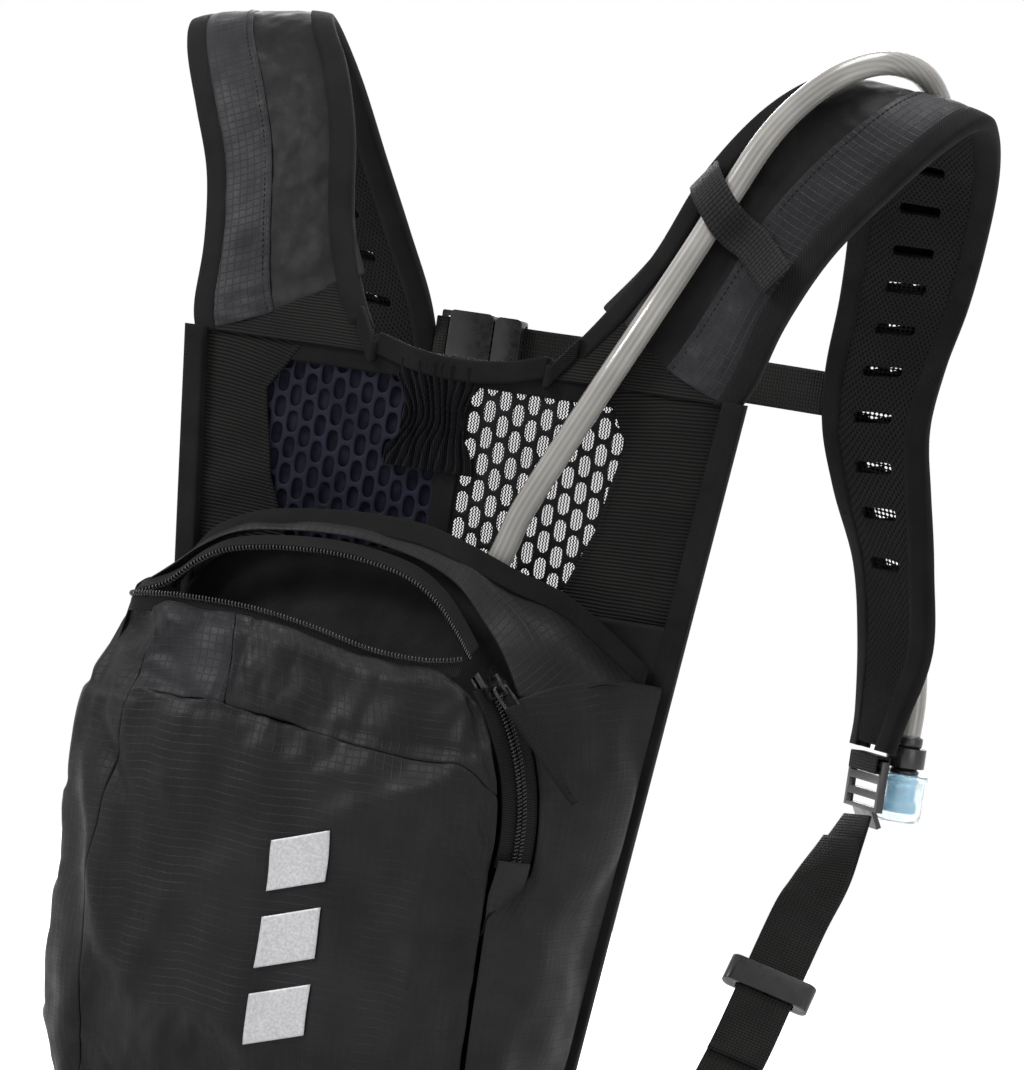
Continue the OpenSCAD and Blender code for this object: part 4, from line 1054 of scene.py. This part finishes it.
def make_pocket():
    """Front, top and left side of the pocket in one settled cloth, then cut along its seams."""
    grid = pocket_grid() * MM
    rows, columns = grid.shape[:2]
    pinned = np.zeros((rows, columns), bool)
    pinned[[0, -1]] = True
    pinned[:, [0, -1]] = True
    grid = settle("pocket_trial", grid, pinned, 2.0, -0.03, 7)
    x, _, z = np.moveaxis(grid, -1, 0)
    out = normals(grid)
    front = ramp(-100 * MM, -84 * MM, x)
    lift = 0.9 * MM * ripples(grid, 46 * MM, 3) + 0.4 * MM * ripples(grid, 17 * MM, 8)
    for start, end, width, height in (
        ((-113, 24), (-84, -60), 5, 3.2), ((-98, 30), (-72, -44), 6, -2.0),
        ((-74, 15), (-66, 6), 3.5, 1.8), ((54, 34), (2, 10), 7, 2.4), ((8, 12), (-50, -24), 8, 2.0),
        ((54, 24), (68, -10), 3.5, 2.2), ((66, 30), (70, -6), 3, 1.6), ((-60, -20), (-88, -110), 7, 2.6),
        ((40, -20), (60, -100), 8, 2.0), ((-20, -60), (-60, -140), 9, 1.8),
        ((-108, -40), (-96, -140), 7, 2.4),
        ((20, -90), (50, -140), 8, 1.6), ((-104, 60), (-70, 52), 4, 1.4), ((-90, 76), (-64, 66), 4, 1.2),
        ((30, 70), (0, 60), 4, 1.4), ((-36, 74), (-28, 50), 4, 1.2),
    ):
        lift = lift + fold(x, z, start, end, width, height)
    lift = lift + seam_press(z - (SEAM_Z + 0.6) * MM, x, 1.6)
    split = (x - (SPLIT_X - 2) * MM - (z - 60 * MM) * 0.02)
    lift = lift + seam_press(split, z, 1.2) * ramp(SEAM_Z * MM, (SEAM_Z + 4) * MM, z) * front
    hem = np.exp(-((np.linspace(0, 1, rows)[:, None] - 0.965) / 0.014) ** 2)
    lift = lift + 1.3 * MM * hem * front
    edge = np.minimum(np.arange(columns), np.arange(columns)[::-1])[None] / 6.0
    grid = grid + out * (lift * np.clip(edge, 0.15, 1))[..., None]
    roll = grid[-1:] + np.linspace(0, 1, 5)[1:, None, None] * np.array([0, 6, -7]) * MM
    roll[:, :, 2] += 2.2 * MM * np.sin(np.linspace(0, 1, 5)[1:, None] * np.pi)
    seam_row = int(np.argmin(np.abs(grid[:, columns - 60, 2] - (SEAM_Z + 0.6) * MM)))
    seam = grid[seam_row]
    corner = int(np.argmin(np.abs(seam[:, 0] - (FRONT_LEFT - 3) * MM) + (seam[:, 1] > -0.045)))
    split_column = int(np.argmin(np.abs(grid[-20, :, 0] - (SPLIT_X - 2) * MM)))
    whole = np.concatenate([grid, roll])
    for name, part, material, node_name, slot in (
        ("pocket_front", grid[:seam_row + 1, corner:], SHELL, "front_panel", "shell_fabric"),
        ("pocket_left", grid[:, :corner + 1], SHELL, "left_gusset", "shell_fabric"),
        ("pocket_top_left", whole[seam_row:, corner:split_column + 1], PLUM, "top_panel_left",
         "plum_fabric"),
        ("pocket_top_right", whole[seam_row:, split_column:], SHELL, "top_panel_right", "shell_fabric"),
    ):
        panel(name, part, material, [node_name], 0.9)
    return grid


def make_mark(front):
    """Three slanted reflective bars that lie on the settled front."""
    flat = front.reshape(-1, 3)
    flat = flat[flat[:, 1] < -0.05]
    bars = []
    for k in range(3):
        s, t = np.meshgrid(np.linspace(0, 1, 22), np.linspace(0, 1, 20))
        x = (-20 + 24 * s) * MM
        z = (-22 - 30 * k + 20 * t + 8 * s) * MM
        gap = (flat[:, 0] - x[..., None]) ** 2 + (flat[:, 2] - z[..., None]) ** 2
        weight = 1 / (gap + (1.5 * MM) ** 2) ** 2
        y = (weight * flat[:, 1]).sum(-1) / weight.sum(-1)
        grid = np.stack([x, y - 0.95 * MM, z], -1)
        back = grid + np.array([0, 0.5 * MM, 0])
        bars.append(weld(shell_mesh("bar", grid, back)))
    piece("reflective_bars", many("reflective_bars", bars), SILVER, ["reflector"])


def shell_mesh(name, face, back):
    """A closed thin slab between a grid and the same grid moved back."""
    rim = lambda g: np.concatenate([g[0], g[1:, -1], g[-1, -2::-1], g[-2:0:-1, 0]])
    a, b = rim(face), rim(back)
    n = len(a)
    front, rear = grid_mesh("a", face), grid_mesh("b", back[:, ::-1])
    i = np.arange(n)
    quads = np.stack([i, i + n, (i + 1) % n + n, (i + 1) % n], -1)
    wall = build("c", np.vstack([a, b]), quads, np.zeros((n, 4, 2)))
    return many(name, [front, rear, wall])


def make_sides():
    """Right side, from the zip's outer edge round to the back."""
    t = np.linspace(0, 1, 34)[None]
    z = mix(FOOT, 65.5 + 11 * t + 5.5 * np.sin(np.pi * t), np.linspace(0, 1, 96)[:, None])
    leg = on_circle(np.maximum(z, 2), ZIP_RADIUS + 4.3) + 1.2
    below = mix(FRONT_RIGHT + 1, on_circle(2, ZIP_RADIUS + 4.3) + 1.2, ramp(-20, 2, z))
    near_x = np.where(z < 2, below, leg)
    near_y = np.where(z < 2, front_y(z) + 17 * ramp(-20, 2, z), -49)
    near = np.stack([near_x, near_y, z], -1)
    far = np.stack([half_at(z) - 0.5, SHELL_Y + 0 * z, z], -1)
    swell = np.sin(np.pi * t)[..., None] * np.array([6.5, -3.5, 0])
    side = (mix(near, far, t[..., None]) + swell) * MM
    lift = 1.3 * MM * ripples(side, 52 * MM, 12) + 0.5 * MM * ripples(side, 19 * MM, 15)
    lift = lift + fold(side[..., 0], side[..., 2], (70, 40), (88, -70), 5, 2.4)
    lift = lift + fold(side[..., 0], side[..., 2], (78, -30), (74, -140), 6, 2.2)
    edge = np.clip(np.sin(np.pi * t) * 3, 0, 1)
    side = side + normals(side) * (lift * edge)[..., None]
    panel("pack_right_side", side, SHELL, ["right_gusset"], 0.9)


def make_arch():
    """The gusset between zip and yoke with its bound edge, and the corner at its left end."""
    low, high = curve(STRIP_LOW, 8), curve(FLAP, 8)
    v = np.linspace(0, 1, 14)[:, None, None]
    arch = (mix(low, high, v) + np.array([0, 0, 2.4]) * np.sin(np.pi * v)) * MM
    arch[..., 2] += 0.7 * MM * ripples(arch, 22 * MM, 21) * np.sin(np.pi * v[..., 0])
    last = ramp(0.72, 1, np.linspace(0, 1, arch.shape[1]))[None, :, None]
    arch = arch + last * np.sin(np.pi * v) * np.array([7.5, -4.5, 1]) * MM
    panel("pack_arch", arch, SHELL, ["arch_gusset"], 0.9)
    path = (evenly(high, 90) + np.array([0, -1.2, 3.0])) * MM
    t, v = np.linspace(0, 1, 16)[None], np.linspace(0, 1, 12)[:, None]
    ends = mix(np.array([-113, -44, 60]), np.array([-104, -7, 60]), t[..., None])
    tips = mix(np.array([-112, -35, 84]), np.array([-104.5, -9, 88]), t[..., None])
    round_out = np.sin(np.pi * t)[..., None] * np.array([-3, 0, 1.5])
    corner = (mix(ends, tips, v[..., None]) + round_out) * MM
    panel("pack_left_corner", corner[:, ::-1], SHELL, [], 0.9)
    tape = carry(path, [0, 0.45, 1] + 0 * path, 4.6 * MM, 0.9 * MM, flat_section(12))
    flap_edge = ring_mesh("flap_edge_tape", tape)
    piece("flap_edge_tape", flap_edge, BINDING, ["flap_binding"])
    strip = path[4:-4] + np.array([0, -1.0, -2.6]) * MM
    piece("flap_stitches", stitches("flap_stitches", strip, [0, -1, 0.4] + 0 * strip), THREAD, [])


def make_inside_and_foot():
    """The bottom panel and the divider behind the pocket."""
    s = np.linspace(0, 1, 30)
    foot = np.stack([
        np.stack([mix(-half_at(FOOT) - 6 * np.sin(np.pi * t0) + 2 * t0,
                      mix(half_at(FOOT), FRONT_RIGHT, t0), s),
                  mix(SHELL_Y, front_y(FOOT) + 1, t0) + 0 * s,
                  FOOT - 2 - 4.5 * np.sin(np.pi * t0) + 0 * s], -1) for t0 in np.linspace(0, 1, 14)]) * MM
    foot[..., 2] += 0.6 * MM * ripples(foot, 30 * MM, 5)
    panel("pack_bottom", foot, SHELL, ["bottom_panel"], 0.9)
    v, u = np.linspace(0, 1, 40)[:, None], np.linspace(-1, 1, 50)[None]
    x = u * (half_at(mix(-150, 80, v)) - 4)
    z = mix(-148, np.interp(x, FLAP[:, 0], FLAP[:, 2]) - 5 - 7 * ramp(60, 100, x), v)
    y = -9.5 - mix(26.5, 10.5, ramp(45, 116, z)) * (1 - np.abs(u) ** 3)
    wall = np.stack([x, y, z], -1) * MM
    panel("pack_divider", wall, LINING, ["divider_panel"], 0.9)


def make_back():
    """Wearer's side: padded mesh with air channels, and the plain lining inside."""
    v, u = np.linspace(0, 1, 120)[:, None], np.linspace(1, -1, 90)[None]
    z = mix(-160, 100, v)
    drop = np.maximum(0, -134 - z)
    x = u * (half_at(z) - 4.6 - (26 - np.sqrt(np.maximum(26**2 - drop**2, 0))))
    z = z + 0 * x
    channel = np.exp(-(x / 9) ** 2) + np.exp(-(((z - 10) % 64 - 32) / 5.0) ** 2) * (np.abs(x) < 86)
    y = 1.2 - 2.4 * np.minimum(channel, 1) - 3.0 * np.clip((np.abs(u) - 0.94) / 0.06, 0, 1) ** 2
    y = y - 3.0 * np.clip((np.abs(v - 0.5) * 2 - 0.97) / 0.03, 0, 1) ** 2
    pad = np.stack([x, y + 0.25 * ripples(np.stack([x, z], -1), 25, 2), z], -1) * MM
    made = panel("back_pad", pad, BACK, ["back_mesh", "back_foam"], 6.4)
    inside = np.stack([x[:, ::-1], -7.3 + 0 * x, z], -1) * MM
    panel("back_inner", inside, LINING, ["back_lining"], 0.8, 0)


# ---- zip ----


def on_zip(angle, across, height):
    """Points by the zip's lower curve: angle in degrees round it, across the tapes and above them, in mm."""
    a = np.radians(angle)
    radial = ZIP_RADIUS + across * math.cos(ZIP_TILT) + height * math.sin(ZIP_TILT)
    deep = across * math.sin(ZIP_TILT) - height * math.cos(ZIP_TILT)
    around = np.broadcast_arrays(radial * np.cos(a), deep, radial * np.sin(a))
    return (np.stack(around, -1) + ZIP_CENTRE) * MM


def coil(path, side, radius=0.85, pitch=1.45):
    """A helix of thin filament round a path: its turns are the teeth of the zip."""
    total = lengths(path)[-1]
    s = np.arange(0, total, pitch * MM / 9)
    rows = sample(np.hstack([path, unit(side), unit(np.cross(tangents(path), side))]), s)
    turn = 2 * np.pi * s / (pitch * MM)
    a, b = unit(rows[:, 3:6]), unit(rows[:, 6:9])
    spiral = rows[:, :3] + radius * MM * (1.15 * np.cos(turn)[:, None] * a + np.sin(turn)[:, None] * b)
    return ring_mesh("coil", carry(spiral, any_side(spiral), 0.3 * MM, 0.3 * MM, round_section(6)))


def make_zip():
    """Tapes and coils round the open mouth and down the closed stretch, and the patch at its end."""
    leg = np.linspace(-7, 39.5, 60)
    zero = 0 * leg
    arch = evenly(curve(ARCH, 8), 120)
    mouth = evenly(curve(MOUTH, 8), 120)
    for name, path, side, shift, wide, u0, u1, c_shift in (
        ("rear", arch, [0.05, 0.85, 0.5], [0, 3, 1.6], 4.0, 0.35, 8.8, [0, -0.6, -1.4]),
        ("front", mouth, [0, 0.15, 1], [0, 0.6, -2.6], 2.9, -8.8, -0.35, [0, 0, 1.6]),
    ):
        line = (path + np.array(shift)) * MM
        flat = np.array(side, float) + 0 * line
        loop = ring_mesh("loop", carry(line, flat, wide * MM, 0.35 * MM, flat_section(10)))
        u = np.linspace(u0, u1, 7)[None]
        face, rear = on_zip(leg[:, None], u, 0.35 + 0 * u), on_zip(leg[:, None], u, -0.35 + 0 * u)
        tape = weld(shell_mesh("leg", face, rear))
        piece(f"zip_tape_{name}_weave", many(f"zip_tape_{name}_weave", [loop, tape]), TAPE,
              [f"zip_tape_{name}"])
        centre = 1.25 if u0 > 0 else -1.25
        out = on_zip(leg, zero + 1, zero) - on_zip(leg, zero, zero)
        lower = coil(on_zip(leg, centre + zero, 1.35 + zero), out)
        upper = coil((path + np.array(c_shift)) * MM, flat)
        piece(f"zip_coil_{name}", many(f"zip_coil_{name}", [lower, upper]), COIL,
              [f"zip_teeth_{name}"])
    a = np.linspace(-24, -4.5, 30)[:, None]
    u = np.linspace(-10.8, 5.5, 20)[None] * mix(0.55, 1, ramp(-24, -12, a))
    lift = 3.4 + 0.6 * np.sin(np.pi * (u + 10.5) / 16)
    patch = on_zip(a, u, lift)
    panel("zip_end_patch", patch[:, ::-1], SHELL, ["zip_garage"], 0.8)
    moulded("zip_slider", SLIDER, 0.45, 3)
    moulded("zip_bail", SLIDER, 0.35, 3)
    make_pull()


PULL_ANGLE = math.radians(38.5)
PULL_LEAN = math.radians(8)


def make_pull():
    """Pull: a wire link through the bail, and a long folded tape that narrows to its tip."""
    radial = np.array([math.cos(PULL_ANGLE), 0, math.sin(PULL_ANGLE)])
    ahead = np.array([-math.sin(PULL_ANGLE), 0, math.cos(PULL_ANGLE)])
    tilt = math.pi / 2 - ZIP_TILT
    out = math.cos(tilt) * radial - math.sin(tilt) * np.array([0, 1, 0])
    across = math.sin(tilt) * radial + math.cos(tilt) * np.array([0, 1, 0])
    origin = ZIP_CENTRE + ZIP_RADIUS * radial + 4.9 * out - 1.3 * ahead
    up = math.cos(PULL_LEAN) * ahead - math.sin(PULL_LEAN) * out
    face = math.cos(PULL_LEAN) * out + math.sin(PULL_LEAN) * ahead
    place = lambda w, h, n: (origin + np.outer(w, across) + np.outer(h, up) + np.outer(n, face)) * MM
    wire_w = np.array([-2.6, -3.4, -3.4, -2.8, 0, 2.8, 3.4, 3.4, 2.6])
    wire_h = np.array([-13.0, -9, -3, -0.3, 0.2, -0.3, -3, -9, -13])
    wire = curve(place(wire_w, wire_h, 0 * wire_w), 6)
    link = ring_mesh("pull_link", carry(wire, face + 0 * wire, 0.7 * MM, 0.7 * MM, round_section(10)))
    t = np.linspace(0, 1, 40)
    h = -9.5 - 45.5 * t
    spine = place(0.7 * np.sin(5 * t), h, 0.5 * np.sin(6 * t) * t)
    wide = mix(4.1, 1.3, ramp(0.35, 1.0, t)) * MM
    tab = ring_mesh("pull_tape", carry(spine, across + 0 * spine, wide, 0.95 * MM, flat_section(12)))
    edge = place(0.7 * np.sin(5 * t) + wide / MM - 1.1, h, 1.0 + 0.5 * np.sin(6 * t) * t)[2:-3]
    other = place(0.7 * np.sin(5 * t) - wide / MM + 1.1, h, 1.0 + 0.5 * np.sin(6 * t) * t)[2:-3]
    thread = many("pull_stitches", [stitches("a", edge, face + 0 * edge, 2.2, 1.4, 0.35),
                                    stitches("b", other, face + 0 * other, 2.2, 1.4, 0.35)])
    piece("pull_link", link, SLIDER, [], "puller")
    piece("pull_tape", tab, TAPE, ["zip_puller"], "puller")
    piece("pull_stitches", thread, THREAD, [], "puller")


# ---- yoke ----
NET_EDGE = np.array([[5, 101], [53, 101], [66.5, 133], [73.5, 169], [65, 181], [5, 181]])
NET_PITCH = np.array([6.1, 10.6])
LEFT_STRETCH = 1.12


def inside_by(outline, points, margin):
    """Points that are inside an anticlockwise outline by at least a margin."""
    a, b = outline, np.roll(outline, -1, 0)
    edge = b - a
    off = points[:, None] - a[None]
    distance = (edge[:, 0] * off[..., 1] - edge[:, 1] * off[..., 0]) / np.linalg.norm(edge, axis=1)
    return distance.min(1) > margin


def make_net(hand, material):
    """Open net of long cells that stand like bricks on end, each column half a cell up from the last."""
    px, pz = NET_PITCH
    i, j = np.meshgrid(np.arange(-1, 15), np.arange(-1, 10), indexing="ij")
    centres = np.stack([8.0 + i * px, 104 + (j + (i % 2) / 2) * pz], -1).reshape(-1, 2)
    outline = NET_EDGE.copy()
    sign = 1
    if hand == "left":
        outline[:, 0] = np.where(outline[:, 0] > 40, outline[:, 0] * LEFT_STRETCH, outline[:, 0])
        sign = -1
    centres = centres[inside_by(outline, centres, -3.2)]
    box = [[1, 0], [1, 1], [0, 1], [-1, 1], [-1, 0], [-1, -1], [0, -1], [1, -1]]
    outer = np.array(box) * [px / 2, pz / 2]
    inner = np.array([[2.45, 0], [2.25, 3.55], [0, 4.65], [-2.25, 3.55], [-2.45, 0], [-2.25, -3.55],
                      [0, -4.65], [2.25, -3.55]])
    place = np.stack([sign * centres[:, 0], -2.3 + 0 * centres[:, 0], centres[:, 1]], -1) * MM
    u, v = np.array([sign, 0, 0]), np.array([0, 0, 1])
    mesh = net_mesh(f"open_net_{hand}", place, u, v, outer * MM, inner * MM)
    if sign < 0:
        mesh.flip_normals()
    made = piece(f"open_net_{hand}", mesh, material, [f"net_{hand}"])
    thicken(made, 1.0)


def make_yoke():
    """Ribbed side panels, the two nets over the fine lining, the gathered middle and its bars."""
    make_net("right", NET)
    make_net("left", NAVY)
    v, u = np.linspace(0, 1, 60)[:, None], np.linspace(0, 1, 26)[None]
    z = mix(99.5, 194, v)
    for hand, sign, grow in (("right", 1, 1.0), ("left", -1, LEFT_STRETCH)):
        near = np.interp(z, [99, 133, 169, 181, 194], [52.5, 66, 73, 65.5, 58]) * grow
        x = mix(near, half_at(z) - 5.4, u)
        puff = 1.0 * np.sin(np.pi * u) + 0.35 * ripples(np.stack([x, z + 0 * x], -1), 24, 6)
        lip = 0.9 * np.exp(-(u * 22 / 0.9) ** 2)
        y = -3.4 - puff - lip + 1.6 * ramp(186, 194, z)
        face = np.stack([sign * x, y, z + 0 * x], -1) * MM
        face = face if sign > 0 else face[:, ::-1]
        name = f"yoke_ribbed_{hand}"
        panel(name, face, RIBBED, [f"yoke_side_{hand}"], 1.2)
        line = np.stack([sign * (near[:, 0] + 1.6), -4.6 + 0 * z[:, 0], z[:, 0]], -1) * MM
        row = stitches(f"yoke_stitches_{hand}", line[2:-2], [0, -1, 0] + 0 * line[2:-2])
        piece(f"yoke_stitches_{hand}", row, THREAD, [])
    for name, start, end, cloth, nodes in (
        ("yoke_fine_knit", 0, 76, KNIT, ["yoke_lining"]), ("yoke_dense_knit", -85, 0, DENSE, []),
    ):
        s, t = np.meshgrid(np.linspace(start, end, 40), np.linspace(100, 187.5, 34))
        veil = np.stack([s, -0.7 + 0.25 * ripples(np.stack([s, t], -1), 20, 3), t], -1) * MM
        panel(name, veil, cloth, nodes, 0.3, 0)
    v, u = np.linspace(0, 1, 60)[:, None], np.linspace(0, 1, 110)[None]
    z = mix(146, 189, v)
    pull = 1 - 0.35 * np.sin(np.pi * ramp(0, 1, v))
    x = -8 + (u - 0.5) * 38 * pull
    sway = 0.9 * np.sin(z * 0.19 + x * 0.3) + 0.5 * np.sin(z * 0.41)
    ridge = np.sin(x * 1.75 / pull + sway) + 0.5 * np.sin(x * 0.9 + z * 0.12)
    y = -4.6 - 1.3 * ridge - 1.4 * np.sin(np.pi * u)
    gathers = np.stack([x, y, z + 0 * x], -1) * MM
    panel("yoke_gathers", gathers, GATHER, [], 0.7)
    z = np.linspace(100, 184, 40)
    spine = np.stack([0 * z, -2.6 + 0 * z, z], -1) * MM
    post = ring_mesh("a", carry(spine, [1, 0, 0] + 0 * spine, 4.6 * MM, 1.0 * MM, flat_section(12)))
    x = np.linspace(-73, 65, 50)
    bar = np.stack([x, -2.6 + 0 * x, 187 + 0 * x], -1) * MM
    top = ring_mesh("b", carry(bar, [0, 0, 1] + 0 * bar, 5.6 * MM, 1.2 * MM, flat_section(12)))
    piece("yoke_bars", many("yoke_bars", [post, top]), BINDING, ["yoke_spine"])


# ---- webbing, hardware and the reservoir ----
WEB_ROWS = np.array([
    [128, 215.5, 22, 0.68, -0.73, 0.1], [124, 209, 6, 0.85, -0.45, 0.1], [120, 200, -10, 0.95, 0, 0],
    [117, 188, -24, 0.95, 0.18, -0.23], [114, 167, -52, 0.95, 0.18, -0.23],
    [111, 146, -80, 0.95, 0.18, -0.23], [107, 118, -108, 0.95, 0.1, -0.2],
    [102, 84, -130, 0.9, 0.1, 0.1], [97, 48, -142, 0.7, 0, 0.7], [91, 16, -142, 0.3, 0, 0.95],
    [88.6, -3, -138, 0.1, 0, 1],
])
TAIL_SHARE = (0.035, 0.44)  # where the doubled tail lies, in shares of the webbing's length


def make_webbing():
    """Lower webbing with its tail, the chest webbing, and the sewn loops."""
    rows = evenly(curve(WEB_ROWS, 10), 150)
    path, side = rows[:, :3], unit(rows[:, 3:6])
    up = unit(np.cross(tangents(path), side))
    share = np.linspace(0, 1, 150)
    tail = (share > TAIL_SHARE[0]) & (share < TAIL_SHARE[1])
    slack = 2.0 + 1.2 * np.sin(np.linspace(0, 3 * np.pi, tail.sum())) ** 2 * np.linspace(0, 1, tail.sum())
    over = path[tail] + up[tail] * slack[:, None]
    for hand, flip in (("right", np.ones(3)), ("left", MIRROR)):
        parts = []
        for line, width in ((path, side), (over, side[tail])):
            rings = carry(line * flip * MM, width * flip, 12.5 * MM, 0.75 * MM, flat_section(16))
            parts.append(ring_mesh("web", rings))
        piece(f"lower_webbing_{hand}", many(f"lower_webbing_{hand}", parts), WEBBING,
              [f"lower_web_{hand}"])
    x = np.linspace(-60, 90.2, 90)
    line = np.stack([x, 200.2 + 0.5 * np.sin(x * 0.05), 200 + 0.4 * np.sin(x * 0.04)], -1) * MM
    rings = carry(line, [0, 0, 1] + 0 * line, 9.5 * MM, 0.6 * MM, flat_section(14))
    chest = ring_mesh("chest_webbing", rings)
    piece("chest_webbing", chest, WEBBING, ["chest_web"])
    for name in ("chest_loop", "lock_loops", "hanger_loop"):
        moulded(name, WEBBING, 0.5)


RESERVOIR = np.array([
    [-141, 30, 0.8], [-136, 46, 2], [-120, 58, 4.4], [-90, 63, 5.4], [-40, 64, 5.6], [10, 64, 5.4],
    [38, 62, 4.2], [50, 61, 2], [56, 60, 0.8], [66, 60, 0.8],
])
RESERVOIR_Y = -14.8


def make_hardware():
    """Moulded buckle, locks and glides, and the reservoir with its bar, port and elbow."""
    for name in ("buckle_socket", "buckle_plug"):
        moulded(name, BLACK, 0.9, 3)
    for name in ("ladder_lock_left", "ladder_lock_right", "tri_glide_left", "tri_glide_right"):
        moulded(name, BLACK, 0.6, 3)
    moulded("hose_elbow", BLACK, 0.6)
    moulded("closure_bar", WHITE, 0.8)
    moulded("port_button", WHITE, 0.5)
    moulded("port_socket", PORT, 0.5)
    rows = evenly(curve(RESERVOIR, 8), 70)
    a = np.linspace(0, 2 * np.pi, 60, endpoint=False)
    c, s = np.cos(a), np.sin(a)
    bag = np.stack([
        rows[:, 1:2] * np.sign(c) * np.abs(c) ** 0.7,
        RESERVOIR_Y + rows[:, 2:3] * np.sign(s) * np.abs(s) ** 0.8,
        rows[:, :1] + 0 * a,
    ], -1) * MM
    bag[..., 1] += 0.35 * MM * ripples(bag, 18 * MM, 31) * np.sign(s) * np.clip(rows[:, 2:3] / 5, 0, 1)
    piece("reservoir_bag", ring_mesh("reservoir_bag", bag), FILM, ["reservoir"])


# ---- floor and light ----
FLOOR_GAP = 0.012
FLOOR_HALF = 1.25


def make_stage():
    """A pale floor under the pack, four soft lamps and an even white surround."""
    low = CAD_BOX[0].z - FLOOR_GAP
    r = FLOOR_HALF
    rim = np.array([[-r, -r, low], [r, -r, low], [-r, r, low], [r, r, low]]).reshape(2, 2, 3)
    floor = bpy.data.objects.new("floor", grid_mesh("floor", rim))
    bpy.context.scene.collection.objects.link(floor)
    pale = shader("pale_floor", rough=0.9)
    paint(pale, spread(pale, grain(pale, 60), 0.3, 0.7), (0.83, 0.83, 0.83), (0.87, 0.87, 0.87))
    floor.data.materials.append(pale)
    middle = (CAD_BOX[0] + CAD_BOX[1]) / 2
    for name, offset, size, power in (
        ("key_lamp", (-1.4, -1.1, 1.4), 0.7, 44), ("fill_lamp", (1.7, -1.1, 0.3), 1.1, 9),
        ("top_lamp", (0.3, 0.3, 1.7), 0.8, 22), ("back_lamp", (-0.8, 1.7, 0.8), 1.0, 20),
    ):
        lamp = bpy.data.objects.new(name, bpy.data.lights.new(name, "AREA"))
        lamp.data.size = size
        lamp.data.energy = power
        lamp.location = middle + Vector(offset)
        lamp.rotation_mode = "QUATERNION"
        lamp.rotation_quaternion = (-Vector(offset)).to_track_quat("-Z", "Y")
        bpy.context.scene.collection.objects.link(lamp)
    world = bpy.data.worlds.new("white_surround")
    bpy.context.scene.world = world
    world.use_nodes = True
    world.node_tree.nodes["Background"].inputs[0].default_value = (1, 1, 1, 1)
    world.node_tree.nodes["Background"].inputs[1].default_value = 1.0
    bpy.context.scene.view_settings.view_transform = "Standard"


make_camera()
make_hose()
make_keeper()
make_straps()
settled_front = make_pocket()
make_mark(settled_front)
make_sides()
make_arch()
make_inside_and_foot()
make_back()
make_zip()
make_yoke()
make_webbing()
make_hardware()
make_stage()
